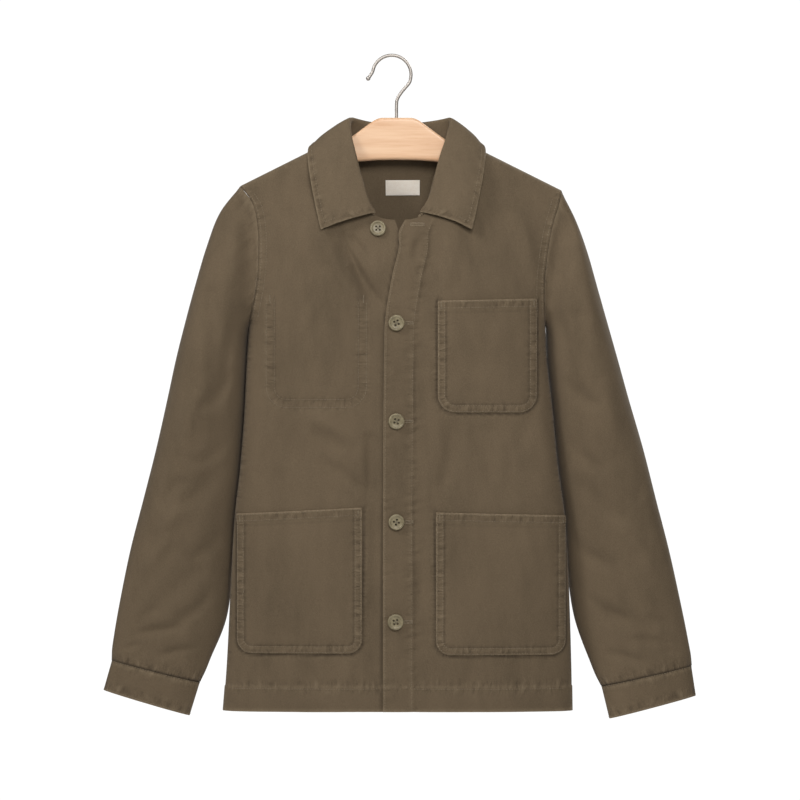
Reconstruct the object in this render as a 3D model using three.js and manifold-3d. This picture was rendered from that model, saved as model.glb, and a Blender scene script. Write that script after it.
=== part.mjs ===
// Chore jacket of heavy cotton twill, buttoned, hanging on a wooden hanger with a wire hook.
// Millimetres, +Z up, the front faces -Y and the wearer's left side is at +X.
// The origin is the inside top of the hook, where it hangs on a rail.
import * as THREE from 'three';
import { mergeVertices } from 'three/addons/utils/BufferGeometryUtils.js';
import Module from 'manifold-3d';

const wasm = await Module();
wasm.setup();

// Cloth and seams
const WALL = 1.5;
const COLLAR_WALL = 2.4;
const CUFF_WALL = 2.4;
const POCKET_WALL = 1.4;
const SEAM_GAP = 0.3;
const PATCH_GAP = 0.6;
const SIDE_INSET = 2.5;
const TURNED_EDGE = 0.8;

// The jacket's centre plane stands a little aside of the hook's seat
const CENTRE_X = 6;

// Body
const HEM_Z = -820;
const HEM_TALL = 31;
const NECK_SIDE = 78;
const NECK_SIDE_Z = -103;
const SHOULDER_SLOPE = 0.5;
const FRONT_NECK_Z = -206;
const BACK_NECK_Z = -125;
const UNDERARM_Z = -336;
const TIP_Z = { left: -168, right: -162 };
const SIDE_ROUNDNESS = 3;
const ARMHOLE_FLARE = 0.75;
const ARMHOLE_FLARE_START = 40;
const SHOULDER_ROLL = 9.8;
const NECK_ROLL_MORE = 5;
const NECK_ROLL_END = 150;
const DROP_TO_FULL_DEPTH = 230;
const DROP_POWER = 1.25;
const DEPTH = { front: 47, back: 43 };
const HEM_DEPTH_SHARE = 0.86;
const FACING_LAP = 2.6;
const FACING_WIDTH = 38;
// Where the lap fades out: distance outward, and drop below the shoulder line
const LAP_FADE_OUT = { from: 30, to: 110 };
const LAP_FADE_DROP = { from: 15, to: 70 };
// Folds fade in below the shoulder and out towards the hem
const FOLD_CALM_TOP = { from: 10, to: 60 };
const FOLD_CALM_HEM = { from: -40, to: 60 };

// Distance from the centre plane to the armhole (down to the underarm) and then the side seam.
// "left" is the wearer's left, which lies at +X.
const BODY_EDGE = [
  { z: -162, left: 208, right: 196 },
  { z: -185, left: 204, right: 180 },
  { z: -211, left: 196, right: 174 },
  { z: -246, left: 189.5, right: 172.5 },
  { z: -285, left: 185.5, right: 175 },
  { z: -336, left: 187, right: 184.5 },
  { z: -380, left: 189, right: 188 },
  { z: -447, left: 196.5, right: 191.3 },
  { z: -515, left: 203, right: 196.5 },
  { z: -575, left: 211.5, right: 203 },
  { z: -650, left: 216, right: 207.5 },
  { z: -760, left: 219.5, right: 213 },
  { z: -820, left: 220.5, right: 217.5 },
];

// X of the front edges: the left front lies on top, the right front runs under it
const FRONT_EDGE = [
  { z: -206, top: 10.6, under: -1.9 },
  { z: -221, top: 3, under: 3 },
  { z: -240, top: 3, under: 8 },
  { z: -277, top: -5.6, under: 14 },
  { z: -322, top: -13, under: 20 },
  { z: -345, top: -15, under: 22 },
  { z: -556, top: -16.9, under: 22 },
  { z: -820, top: -16.9, under: 22 },
];

// Sleeve rings in the front view: outer and inner point, half depth front to back, and how far
// the inner side lies behind the centre, tucked back behind the body's side seam
const SLEEVE_LEFT = [
  { ring: 0, outerX: 208, outerZ: -168, innerX: 187, innerZ: -336, depth: 36, lean: 0 },
  { ring: 1, outerX: 226, outerZ: -206, innerX: 188.6, innerZ: -342, depth: 39, lean: 7 },
  { ring: 2, outerX: 240, outerZ: -246, innerX: 189.4, innerZ: -350, depth: 44, lean: 14 },
  { ring: 3, outerX: 253, outerZ: -292, innerX: 188.6, innerZ: -363, depth: 48, lean: 20 },
  { ring: 4, outerX: 266, outerZ: -338, innerX: 189.2, innerZ: -386, depth: 50, lean: 20 },
  { ring: 5, outerX: 279, outerZ: -384, innerX: 192.6, innerZ: -416, depth: 51, lean: 20 },
  { ring: 6, outerX: 292, outerZ: -431, innerX: 196.2, innerZ: -452, depth: 50, lean: 20 },
  { ring: 7, outerX: 310, outerZ: -493, innerX: 202.4, innerZ: -514, depth: 47, lean: 20 },
  { ring: 8, outerX: 326, outerZ: -556, innerX: 211, innerZ: -580, depth: 42, lean: 20 },
  { ring: 9, outerX: 342, outerZ: -618, innerX: 215.2, innerZ: -645, depth: 35, lean: 20 },
  { ring: 10, outerX: 356, outerZ: -681, innerX: 224, innerZ: -705, depth: 29, lean: 16 },
  { ring: 11, outerX: 366.5, outerZ: -733, innerX: 243.5, innerZ: -760, depth: 23, lean: 10 },
  { ring: 12, outerX: 371, outerZ: -764, innerX: 257, innerZ: -790, depth: 19, lean: 6 },
];
const SLEEVE_RIGHT = [
  { ring: 0, outerX: 196, outerZ: -162, innerX: 184.5, innerZ: -336, depth: 36, lean: 0 },
  { ring: 1, outerX: 222, outerZ: -196, innerX: 185.8, innerZ: -342, depth: 39, lean: 7 },
  { ring: 2, outerX: 238, outerZ: -237, innerX: 186.4, innerZ: -350, depth: 44, lean: 14 },
  { ring: 3, outerX: 252, outerZ: -284, innerX: 186.8, innerZ: -363, depth: 48, lean: 20 },
  { ring: 4, outerX: 265, outerZ: -332, innerX: 187.6, innerZ: -386, depth: 50, lean: 20 },
  { ring: 5, outerX: 277, outerZ: -380, innerX: 189.4, innerZ: -416, depth: 51, lean: 20 },
  { ring: 6, outerX: 288, outerZ: -431, innerX: 190.8, innerZ: -452, depth: 50, lean: 20 },
  { ring: 7, outerX: 302, outerZ: -493, innerX: 196, innerZ: -516, depth: 47, lean: 20 },
  { ring: 8, outerX: 318, outerZ: -556, innerX: 203, innerZ: -582, depth: 42, lean: 20 },
  { ring: 9, outerX: 334, outerZ: -618, innerX: 206.6, innerZ: -645, depth: 35, lean: 20 },
  { ring: 10, outerX: 347, outerZ: -681, innerX: 214, innerZ: -705, depth: 29, lean: 16 },
  { ring: 11, outerX: 355.5, outerZ: -730, innerX: 233.5, innerZ: -755, depth: 23, lean: 10 },
  { ring: 12, outerX: 358, outerZ: -757, innerX: 246.5, innerZ: -785, depth: 19, lean: 6 },
];
const SLEEVE_ROUNDNESS = 2.2;
const ARMHOLE_BLEND_RINGS = 2.2;
const CUFF_END = {
  left: { outerX: 375.5, outerZ: -802, innerX: 268, innerZ: -831, depth: 16, lean: 4 },
  right: { outerX: 367.5, outerZ: -795, innerX: 260.5, innerZ: -827, depth: 16, lean: 4 },
};
const CUFF_INSET = 1.2;
const CUFF_SHARES = [0, 0.5, 1];

// Collar stations from the front end round to the centre back, on one side. The roll stands a
// little towards the wearer's left, by the shift.
const COLLAR = [
  { at: 0, seam: 27, rollX: 29, rollY: -34, rollZ: -198, edgeX: 94, edgeY: -41, edgeZ: -218.5, shift: 1.5 },
  { at: 1, seam: 45, rollX: 38, rollY: -31, rollZ: -184, edgeX: 99, edgeY: -36, edgeZ: -198, shift: 2 },
  { at: 2, seam: 60, rollX: 45.7, rollY: -27, rollZ: -158, edgeX: 104, edgeY: -29, edgeZ: -174, shift: 2 },
  { at: 3, seam: 70, rollX: 53, rollY: -22, rollZ: -131, edgeX: 108.5, edgeY: -25, edgeZ: -150, shift: 2 },
  { at: 4, seam: 76, rollX: 60.5, rollY: -13, rollZ: -102, edgeX: 111, edgeY: -16, edgeZ: -129, shift: 3 },
  { at: 5, seam: 78, rollX: 65, rollY: -1, rollZ: -79, edgeX: 108.5, edgeY: 1, edgeZ: -113, shift: 5 },
  { at: 6, seam: 60, rollX: 50, rollY: 12, rollZ: -80.5, edgeX: 88, edgeY: 20, edgeZ: -114, shift: 4 },
  { at: 7, seam: 30, rollX: 26, rollY: 16, rollZ: -84, edgeX: 46, edgeY: 26, edgeZ: -127, shift: 2 },
  { at: 8, seam: 0, rollX: 0, rollY: 17, rollZ: -85.5, edgeX: 0, edgeY: 27, edgeZ: -130, shift: 0 },
];
const COLLAR_LIFT = 0.4;
const ROLL_RADIUS = 2;
const FALL_BULGE = 3;
const FALL_SHARES = [0.3, 0.6, 0.85, 1];
const SIDE_STATION = 5;

// Largest folds: a trough, or a ridge where deep is below zero, from one point to another
const BODY_FOLDS = [
  { face: 'front', x: -77, z: -226, toX: -26, toZ: -304, wide: 13, deep: 4.5 },
  { face: 'front', x: 45, z: -232, toX: 40, toZ: -300, wide: 12, deep: 3 },
  { face: 'front', x: -110, z: -150, toX: -150, toZ: -290, wide: 16, deep: 3 },
  { face: 'front', x: 120, z: -150, toX: 158, toZ: -285, wide: 16, deep: 2.5 },
  { face: 'front', x: -120, z: -480, toX: -60, toZ: -540, wide: 20, deep: 3 },
  { face: 'front', x: 32, z: -660, toX: 40, toZ: -800, wide: 14, deep: 3 },
  { face: 'front', x: -32, z: -480, toX: -28, toZ: -800, wide: 9, deep: 2.5 },
  { face: 'back', x: -60, z: -190, toX: -35, toZ: -430, wide: 22, deep: 5 },
  { face: 'back', x: 70, z: -200, toX: 52, toZ: -520, wide: 24, deep: 5 },
  { face: 'back', x: -150, z: -330, toX: -95, toZ: -600, wide: 22, deep: 4 },
  { face: 'back', x: 150, z: -340, toX: 120, toZ: -640, wide: 22, deep: 4 },
  { face: 'back', x: 4, z: -480, toX: -8, toZ: -800, wide: 26, deep: 4 },
];
const SLEEVE_FOLDS = [
  { side: 'right', face: 'front', x: 205, z: -190, toX: 190, toZ: -320, wide: 9, deep: 5 },
  { side: 'right', face: 'front', x: 232, z: -300, toX: 222, toZ: -470, wide: 12, deep: 4 },
  { side: 'right', face: 'front', x: 222, z: -520, toX: 262, toZ: -560, wide: 12, deep: 4 },
  { side: 'right', face: 'front', x: 246, z: -640, toX: 300, toZ: -690, wide: 12, deep: 3 },
  { side: 'left', face: 'front', x: 222, z: -200, toX: 196, toZ: -330, wide: 10, deep: 4 },
  { side: 'left', face: 'front', x: 230, z: -330, toX: 226, toZ: -480, wide: 12, deep: 4 },
  { side: 'left', face: 'front', x: 232, z: -540, toX: 276, toZ: -580, wide: 12, deep: 4 },
  { side: 'left', face: 'front', x: 262, z: -700, toX: 316, toZ: -716, wide: 11, deep: 3 },
  { side: 'right', face: 'back', x: 225, z: -260, toX: 235, toZ: -440, wide: 14, deep: 5 },
  { side: 'right', face: 'back', x: 250, z: -520, toX: 290, toZ: -580, wide: 13, deep: 4 },
  { side: 'left', face: 'back', x: 228, z: -260, toX: 240, toZ: -440, wide: 14, deep: 5 },
  { side: 'left', face: 'back', x: 262, z: -520, toX: 300, toZ: -600, wide: 13, deep: 4 },
];

// Patches on the fronts, in the front view
const POCKETS = [
  { name: 'chest_pocket', side: 'left', fromX: 51.6, toX: 175, topFrom: -307.5, topTo: -304.5,
    bottom: -446.5, corner: 22, hem: 11 },
  { name: 'lower_pocket_left', side: 'left', fromX: 49.4, toX: 211, topFrom: -571, topTo: -575,
    bottom: -749, corner: 18, hem: 11 },
  { name: 'lower_pocket_right', side: 'right', fromX: 43, toX: 199, topFrom: -565, topTo: -573,
    bottom: -747, corner: 18, hem: 11 },
];
const INNER_POCKET = { name: 'inner_pocket', side: 'right', fromX: 37, toX: 163, topFrom: -307,
  topTo: -304, bottom: -441, corner: 26, hem: 0 };
const INNER_POCKET_WALL = 1;
const INNER_POCKET_GAP = 0.9;
const LABEL = { centreX: 7.8, centreZ: -162.8, wide: 43, tall: 19, thick: 0.6 };

const LABEL_ROWS = [0.5, 0, -0.5];
const LABEL_COLUMNS = [-0.5, -0.25, 0, 0.25, 0.5];

// Buttons: profile of one, and the place of each centre. The top one is undone.
const BUTTON_GAP = 0.4;
const BUTTON_HOLE_RADIUS = 1.1;
const BUTTON_HOLE_OUT = 1.9;
const BUTTON_HOLE_TALL = 10;
const BUTTON_HOLE_SIDES = 6;
const BUTTON_PROFILE = [
  { out: 0, up: 0 }, { out: 9, up: 0 }, { out: 10, up: 1 }, { out: 10, up: 2.4 }, { out: 9, up: 3.4 },
  { out: 8, up: 3.3 }, { out: 7, up: 2.5 }, { out: 0, up: 2.3 },
];
const BUTTONS = [
  { name: 'button_1', side: 'right', x: -23, z: -217 },
  { name: 'button_2', side: 'left', x: 0, z: -335 },
  { name: 'button_3', side: 'left', x: 0, z: -457.5 },
  { name: 'button_4', side: 'left', x: 0, z: -583 },
  { name: 'button_5', side: 'left', x: -1, z: -707.5 },
];

// Hanger board and hook wire
const BOARD_THICK = 13;
const BOARD_BEVEL = 4;
const BOARD_CLEAR = 4;
const BOARD_HEAD = [
  { x: 21, z: -76.5 }, { x: 28, z: -79.5 }, { x: 61, z: -103.5 }, { x: 72, z: -112.5 },
  { x: 84, z: -119 }, { x: 100, z: -122 },
];
const BOARD_ARM = { start: 120, end: 168, tall: 20, round: 6 };
const BOARD_BOTTOM = [{ x: 50, z: -131.6 }, { x: 25, z: -129.8 }, { x: 0, z: -129.3 }];
const WIRE_RADIUS = 2.1;
const HOOK_RADIUS = 24.2;
const HOOK_START = -27.6;
const HOOK_FINISH = 156;
const HOOK_BENDS = [{ x: 0, z: -62 }, { x: 1, z: -53 }, { x: 6.5, z: -44 }];
const HOOK_TAIL = [{ x: -30.5, z: -19.5 }, { x: -35.6, z: -27 }];
const HOOK_BALL_RADIUS = 2.9;
const HOOK_BALL_SEGMENTS = { around: 10, up: 6 };
const WIRE_CURVE_SEGMENTS = 4;
const STEM_BOTTOM_Z = -100;
const STEM_BORE_RADIUS = 2.6;
const STEM_BORE_TALL = 60;
const STEM_BORE_SIDES = 16;

// Mesh density
const ARMHOLE_ROWS = 10;
const SIDE_ROWS = 13;
const NECK_COLUMNS = 5;
const SHOULDER_COLUMNS = 8;
const SLEEVE_RINGS = 16;
const COLLAR_STEPS = 14;
const PATCH_STEP = 20;
const CORNER_SHARES = [0, 0.12, 0.45, 1];
const CORNER_CLEAR = 4;
const BUTTON_SEGMENTS = 14;
const HOOK_ARC_STEPS = 12;
const HOOK_STEPS = 40;

// Value of one named column of a table, by a smooth curve through its rows
function column(table, name, place, along = 'z') {
  const last = table.length - 1;
  const way = Math.sign(table[last][along] - table[0][along]);
  let row = 0;
  while (row < last - 1 && way * (place - table[row + 1][along]) > 0) row += 1;
  const start = table[row];
  const end = table[row + 1];
  const span = end[along] - start[along];
  const t = THREE.MathUtils.clamp((place - start[along]) / span, 0, 1);
  const slope = (index) => {
    const before = table[Math.max(index - 1, 0)];
    const after = table[Math.min(index + 1, last)];
    return (after[name] - before[name]) / (after[along] - before[along]);
  };
  const ease = t * t * (3 - 2 * t);
  const leaving = t * (1 - t) * (1 - t) * span * slope(row);
  const arriving = t * t * (1 - t) * span * slope(row + 1);
  return start[name] + (end[name] - start[name]) * ease + leaving - arriving;
}

const signOf = (side) => (side === 'left' ? 1 : -1);
const faceOf = (face) => (face === 'front' ? -1 : 1);
const smoothstep = (value, from, to) => THREE.MathUtils.smoothstep(value, from, to);

// Height of the shoulder line at a distance from the centre plane
function ridge(out) {
  return NECK_SIDE_Z - SHOULDER_SLOPE * Math.max(out - NECK_SIDE, 0);
}

// Distance from the centre plane to the armhole or side seam
function bodyEdge(side, z) {
  return column(BODY_EDGE, side, Math.min(z, TIP_Z[side]));
}

// Distance outward of a front's own edge at the opening
function frontEdge(side, z) {
  return signOf(side) * column(FRONT_EDGE, side === 'left' ? 'top' : 'under', z);
}

// How far the cloth has come forward of the shoulder line after dropping some way below it
function bodyRoll(out, drop, depth) {
  const roll = SHOULDER_ROLL + NECK_ROLL_MORE * (1 - smoothstep(out, NECK_SIDE, NECK_ROLL_END));
  const round = Math.min(drop / roll, 1);
  const quarter = Math.sqrt(1 - (1 - round) * (1 - round));
  const rise = Math.sin((Math.PI / 2) * Math.min(drop / DROP_TO_FULL_DEPTH, 1)) ** DROP_POWER;
  return roll * quarter + (depth - roll) * rise;
}

// Share of the depth at a point across the body, which rounds away to the side seam.
// Above the underarm it rounds about a line that flares past the armhole.
function acrossShare(side, out, z) {
  const above = Math.max(z - UNDERARM_Z, 0);
  const flare = (ARMHOLE_FLARE * above * above) / (above + ARMHOLE_FLARE_START);
  const reach = bodyEdge(side, Math.min(z, UNDERARM_Z)) + flare;
  const part = Math.min(Math.abs(out) / reach, 1);
  return (1 - part ** SIDE_ROUNDNESS) ** (1 / SIDE_ROUNDNESS);
}

// Sum of the folds at a point of the front view, a soft trough along each line
function foldDepth(folds, x, z) {
  let sum = 0;
  for (const fold of folds) {
    const runX = fold.toX - fold.x;
    const runZ = fold.toZ - fold.z;
    const along = ((x - fold.x) * runX + (z - fold.z) * runZ) / (runX * runX + runZ * runZ);
    const near = THREE.MathUtils.clamp(along, 0, 1);
    const gap = Math.hypot(x - fold.x - near * runX, z - fold.z - near * runZ);
    sum += fold.deep * Math.exp(-((gap / fold.wide) ** 2));
  }
  return sum;
}

// Point on the outer face of the body cloth, at a signed distance outward on one side
function bodyPoint(face, side, out, z) {
  const drop = Math.max(ridge(Math.abs(out)) - z, 0);
  const low = Math.min(z, UNDERARM_Z);
  const hemShare = THREE.MathUtils.mapLinear(low, UNDERARM_Z, HEM_Z, 1, HEM_DEPTH_SHARE);
  const across = acrossShare(side, out, z);
  const folds = BODY_FOLDS.filter((fold) => fold.face === face);
  const x = signOf(side) * out;
  const calmTop = smoothstep(drop, FOLD_CALM_TOP.from, FOLD_CALM_TOP.to);
  const calmHem = smoothstep(z - HEM_Z, FOLD_CALM_HEM.from, FOLD_CALM_HEM.to);
  const roll = bodyRoll(Math.abs(out), drop, DEPTH[face] * hemShare);
  const depth = roll * across - foldDepth(folds, x, z) * across * across * calmTop * calmHem;
  return new THREE.Vector3(x, faceOf(face) * (SEAM_GAP / 2 + depth), z);
}

// Outer face of the right front, which sinks behind the left front where they lap
function frontPoint(side, out, z) {
  const point = bodyPoint('front', side, out, z);
  if (side === 'right') {
    const drop = ridge(out) - z;
    const nearEdge = 1 - smoothstep(out, LAP_FADE_OUT.from, LAP_FADE_OUT.to);
    point.y += FACING_LAP * nearEdge * smoothstep(drop, LAP_FADE_DROP.from, LAP_FADE_DROP.to);
  }
  return point;
}

// Outward direction of a surface given as a function of distance outward and height
function outwardAt(surface, out, z, facing) {
  const step = 0.5;
  const across = surface(out + step, z).sub(surface(out - step, z));
  const up = surface(out, z + step).sub(surface(out, z - step));
  const normal = across.cross(up).normalize();
  return normal.y * facing < 0 ? normal.negate() : normal;
}

// Closed solid from triangles, turned so that its faces point out
function solidFrom(points, triangles) {
  const geometry = new THREE.BufferGeometry();
  const places = points.flatMap((point) => point.toArray());
  geometry.setAttribute('position', new THREE.Float32BufferAttribute(places, 3));
  let volume = 0;
  const cross = new THREE.Vector3();
  for (const [a, b, c] of triangles) {
    volume += points[a].dot(cross.crossVectors(points[b], points[c]));
  }
  const turned = volume < 0 ? triangles.map(([a, b, c]) => [a, c, b]) : triangles;
  geometry.setIndex(turned.flat());
  return geometry;
}

// Wall between two grids of points with the same rows and columns
function wallBetween(outer, inner, around = false) {
  const rows = outer.length;
  const columns = outer[0].length;
  const points = [...outer.flat(), ...inner.flat()];
  const innerStart = rows * columns;
  const triangles = [];
  const quad = (a, b, c, d) => triangles.push([a, b, c], [a, c, d]);
  const outerAt = (row, place) => row * columns + (place % columns);
  const innerAt = (row, place) => innerStart + outerAt(row, place);
  const steps = around ? columns : columns - 1;
  for (let row = 0; row < rows - 1; row += 1) {
    const below = row + 1;
    for (let place = 0; place < steps; place += 1) {
      const next = place + 1;
      quad(outerAt(row, place), outerAt(row, next), outerAt(below, next), outerAt(below, place));
      quad(innerAt(below, place), innerAt(below, next), innerAt(row, next), innerAt(row, place));
    }
  }
  const last = rows - 1;
  for (let place = 0; place < steps; place += 1) {
    const next = place + 1;
    quad(innerAt(0, place), innerAt(0, next), outerAt(0, next), outerAt(0, place));
    quad(outerAt(last, place), outerAt(last, next), innerAt(last, next), innerAt(last, place));
  }
  if (!around) {
    for (let row = 0; row < last; row += 1) {
      const below = row + 1;
      quad(outerAt(row, 0), outerAt(below, 0), innerAt(below, 0), innerAt(row, 0));
      quad(outerAt(below, steps), outerAt(row, steps), innerAt(row, steps), innerAt(below, steps));
    }
  }
  return solidFrom(points, triangles);
}

const group = new THREE.Group();
group.name = 'chore_jacket';
const jacket = new THREE.Group();
jacket.position.x = CENTRE_X;
group.add(jacket);

const CLOTH_LOOK = { color: 0x6a5a49, roughness: 0.9, metalness: 0 };
const BUTTON_LOOK = { color: 0x8a826c, roughness: 0.45, metalness: 0 };
const LABEL_LOOK = { color: 0xd8cfc0, roughness: 0.85, metalness: 0 };
const WOOD_LOOK = { color: 0xe0b98f, roughness: 0.5, metalness: 0 };
const WIRE_LOOK = { color: 0xc9c6c0, roughness: 0.25, metalness: 1 };

function addMesh(name, geometry, look) {
  const mesh = new THREE.Mesh(geometry, new THREE.MeshStandardMaterial(look));
  mesh.name = name;
  jacket.add(mesh);
  return mesh;
}

// Distances across a panel, from the front or back edge to the armhole, as shares of its width.
// One of them meets the neck's side point, and they come closer together towards the side.
function acrossShares(neck) {
  const shares = [];
  for (let step = 0; step < NECK_COLUMNS; step += 1) {
    shares.push(neck * Math.sin(((Math.PI / 2) * step) / NECK_COLUMNS));
  }
  for (let step = 0; step <= SHOULDER_COLUMNS; step += 1) {
    shares.push(neck + (1 - neck) * Math.sin(((Math.PI / 2) * step) / SHOULDER_COLUMNS));
  }
  return shares;
}

// Heights of the armhole's points, from the shoulder tip to the underarm
function armholeHeights(side) {
  const middle = (TIP_Z[side] + UNDERARM_Z) / 2;
  const half = (TIP_Z[side] - UNDERARM_Z) / 2;
  return Array.from({ length: ARMHOLE_ROWS + 1 }, (_, step) =>
    middle + half * Math.cos((Math.PI * step) / ARMHOLE_ROWS));
}

// Shares of the way down a panel, the same for each of its columns
function downShares(side) {
  const tall = TIP_Z[side] - HEM_Z;
  const shares = armholeHeights(side).map((z) => (TIP_Z[side] - z) / tall);
  const under = shares[ARMHOLE_ROWS];
  const hemStart = 1 - HEM_TALL / tall;
  for (let step = 1; step < SIDE_ROWS; step += 1) {
    shares.push(under + ((hemStart - under) * step) / (SIDE_ROWS - 1));
  }
  shares.push(1);
  return shares;
}

// Height where a column of the panel meets its top line, by halving
function meetTop(outAt, topAt) {
  let low = UNDERARM_Z;
  let high = NECK_SIDE_Z;
  for (let step = 0; step < 40; step += 1) {
    const middle = (low + high) / 2;
    if (topAt(outAt(middle)) > middle) low = middle;
    else high = middle;
  }
  return (low + high) / 2;
}

function neckline(out, centre, bottomZ) {
  const part = THREE.MathUtils.clamp((out - centre) / (NECK_SIDE - centre), 0, 1);
  return NECK_SIDE_Z - (NECK_SIDE_Z - bottomZ) * Math.sqrt(1 - part * part);
}

function topLine(out, centre, bottomZ) {
  return out < NECK_SIDE ? neckline(out, centre, bottomZ) : ridge(out);
}

// Share of a panel's width at the neck's side point, level with the shoulder tip
function neckShare(side, start) {
  return (NECK_SIDE - start) / (bodyEdge(side, TIP_Z[side]) - start);
}

const panelShares = (side) => acrossShares(neckShare(side, frontEdge(side, NECK_SIDE_Z)));

// Grid of distances and heights over half a panel, rows down from the top line
function panelPlaces(side, startAt, centre, bottomZ) {
  const shares = acrossShares(neckShare(side, startAt(NECK_SIDE_Z)));
  const down = downShares(side);
  const columns = shares.map((share) => {
    const outAt = (z) => THREE.MathUtils.lerp(startAt(z), bodyEdge(side, z), share);
    const last = share > 1 - 1e-9;
    const top = last ? TIP_Z[side] : meetTop(outAt, (out) => topLine(out, centre, bottomZ));
    return down.map((part) => {
      const z = THREE.MathUtils.lerp(top, HEM_Z, part);
      return { side, out: outAt(z), z, seam: last };
    });
  });
  return down.map((_, row) => columns.map((heights) => heights[row]));
}

// Wall of cloth on a panel: the inner face keeps in line with the seams at side and shoulder
function panelWall(face, places, surface, relief) {
  const facing = faceOf(face);
  const outer = [];
  const inner = [];
  places.forEach((line, row) => {
    outer.push([]);
    inner.push([]);
    line.forEach(({ side, out, z, seam }) => {
      const point = surface(side, out, z);
      const normal = outwardAt((o, h) => surface(side, o, h), out, z, facing);
      const onShoulder = row === 0 && Math.abs(out) >= NECK_SIDE - 0.01;
      if (onShoulder || (seam && z <= UNDERARM_Z + 0.01)) {
        normal.y = 0;
        if (onShoulder) normal.set(signOf(side) * SHOULDER_SLOPE, 0, 1);
        normal.normalize();
      }
      inner[row].push(point.clone().addScaledVector(normal, -WALL));
      outer[row].push(point.addScaledVector(normal, relief(side, out, z)));
    });
  });
  return wallBetween(outer, inner);
}

const hemRelief = (z) => TURNED_EDGE * smoothstep(-z, -HEM_Z - HEM_TALL - 1, -HEM_Z - HEM_TALL + 1);

function backPlaces(side) {
  return panelPlaces(side, () => 0, 0, BACK_NECK_Z);
}

function frontPlaces(side) {
  const startAt = (z) => frontEdge(side, z);
  return panelPlaces(side, startAt, startAt(FRONT_NECK_Z), FRONT_NECK_Z);
}

function buildBack() {
  const left = backPlaces('left');
  const right = backPlaces('right');
  const places = left.map((line, row) => [...right[row].slice(1).reverse(), ...line]);
  const surface = (side, out, z) => bodyPoint('back', side, out, z);
  addMesh('back', panelWall('back', places, surface, (side, out, z) => hemRelief(z)), CLOTH_LOOK);
}

function buildFront(side) {
  const covered = (out) => side === 'right' && out < FACING_WIDTH / 2;
  const turned = (out, z) => side === 'left' && out < frontEdge(side, z) + FACING_WIDTH;
  const relief = (at, out, z) => {
    if (covered(out)) return 0;
    return turned(out, z) ? TURNED_EDGE : hemRelief(z);
  };
  addMesh(`front_${side}`, panelWall('front', frontPlaces(side), frontPoint, relief), CLOTH_LOOK);
}

// Point of the armhole's edge, level with a share of the way from the underarm to the tip
function armholePoint(side, face, level) {
  const z = THREE.MathUtils.lerp(UNDERARM_Z, TIP_Z[side], level);
  const surface = face === 'front' ? frontPoint : (at, out, height) => bodyPoint(face, at, out, height);
  const out = bodyEdge(side, z);
  const point = surface(side, out, z);
  const normal = outwardAt((o, h) => surface(side, o, h), out, z, faceOf(face));
  if (level > 1 - 1e-9) normal.set(signOf(side) * SHOULDER_SLOPE, 0, 1).normalize();
  if (level < 1e-9) normal.set(signOf(side), 0, 0);
  return { point, normal };
}

// Ring of a sleeve or cuff: from its outer point round the front and the back
function ringPoint(side, ring, turn) {
  const level = (1 + Math.cos(turn)) / 2;
  const x = THREE.MathUtils.lerp(ring.innerX, ring.outerX, level);
  const z = THREE.MathUtils.lerp(ring.innerZ, ring.outerZ, level);
  const round = Math.abs(Math.sin(turn)) ** (2 / SLEEVE_ROUNDNESS);
  const face = turn < Math.PI ? 'front' : 'back';
  const folds = SLEEVE_FOLDS.filter((fold) => fold.side === side && fold.face === face);
  const depth = ring.depth * round - foldDepth(folds, x, z) * round * round;
  return new THREE.Vector3(signOf(side) * x, faceOf(face) * depth + ring.lean * (1 - level), z);
}

const RING_NAMES = ['outerX', 'outerZ', 'innerX', 'innerZ', 'depth', 'lean'];

function ringAt(table, place) {
  const ring = {};
  for (const name of RING_NAMES) {
    ring[name] = column(table, name, place, 'ring');
  }
  return ring;
}

// Inner grid of a tube: each point moved in along the outer grid's own direction
function tubeInner(outer, thick, firstNormals) {
  const columns = outer[0].length;
  return outer.map((line, row) => line.map((point, place) => {
    const around = line[(place + 1) % columns].clone().sub(line[(place + columns - 1) % columns]);
    const above = outer[Math.max(row - 1, 0)][place];
    const below = outer[Math.min(row + 1, outer.length - 1)][place];
    const normal = around.cross(above.clone().sub(below)).normalize();
    const centre = line[0].clone().add(line[columns / 2]).multiplyScalar(0.5);
    if (normal.dot(point.clone().sub(centre)) < 0) normal.negate();
    if (row === 0 && firstNormals) normal.copy(firstNormals[place]);
    return point.clone().addScaledVector(normal, -thick);
  }));
}

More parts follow.
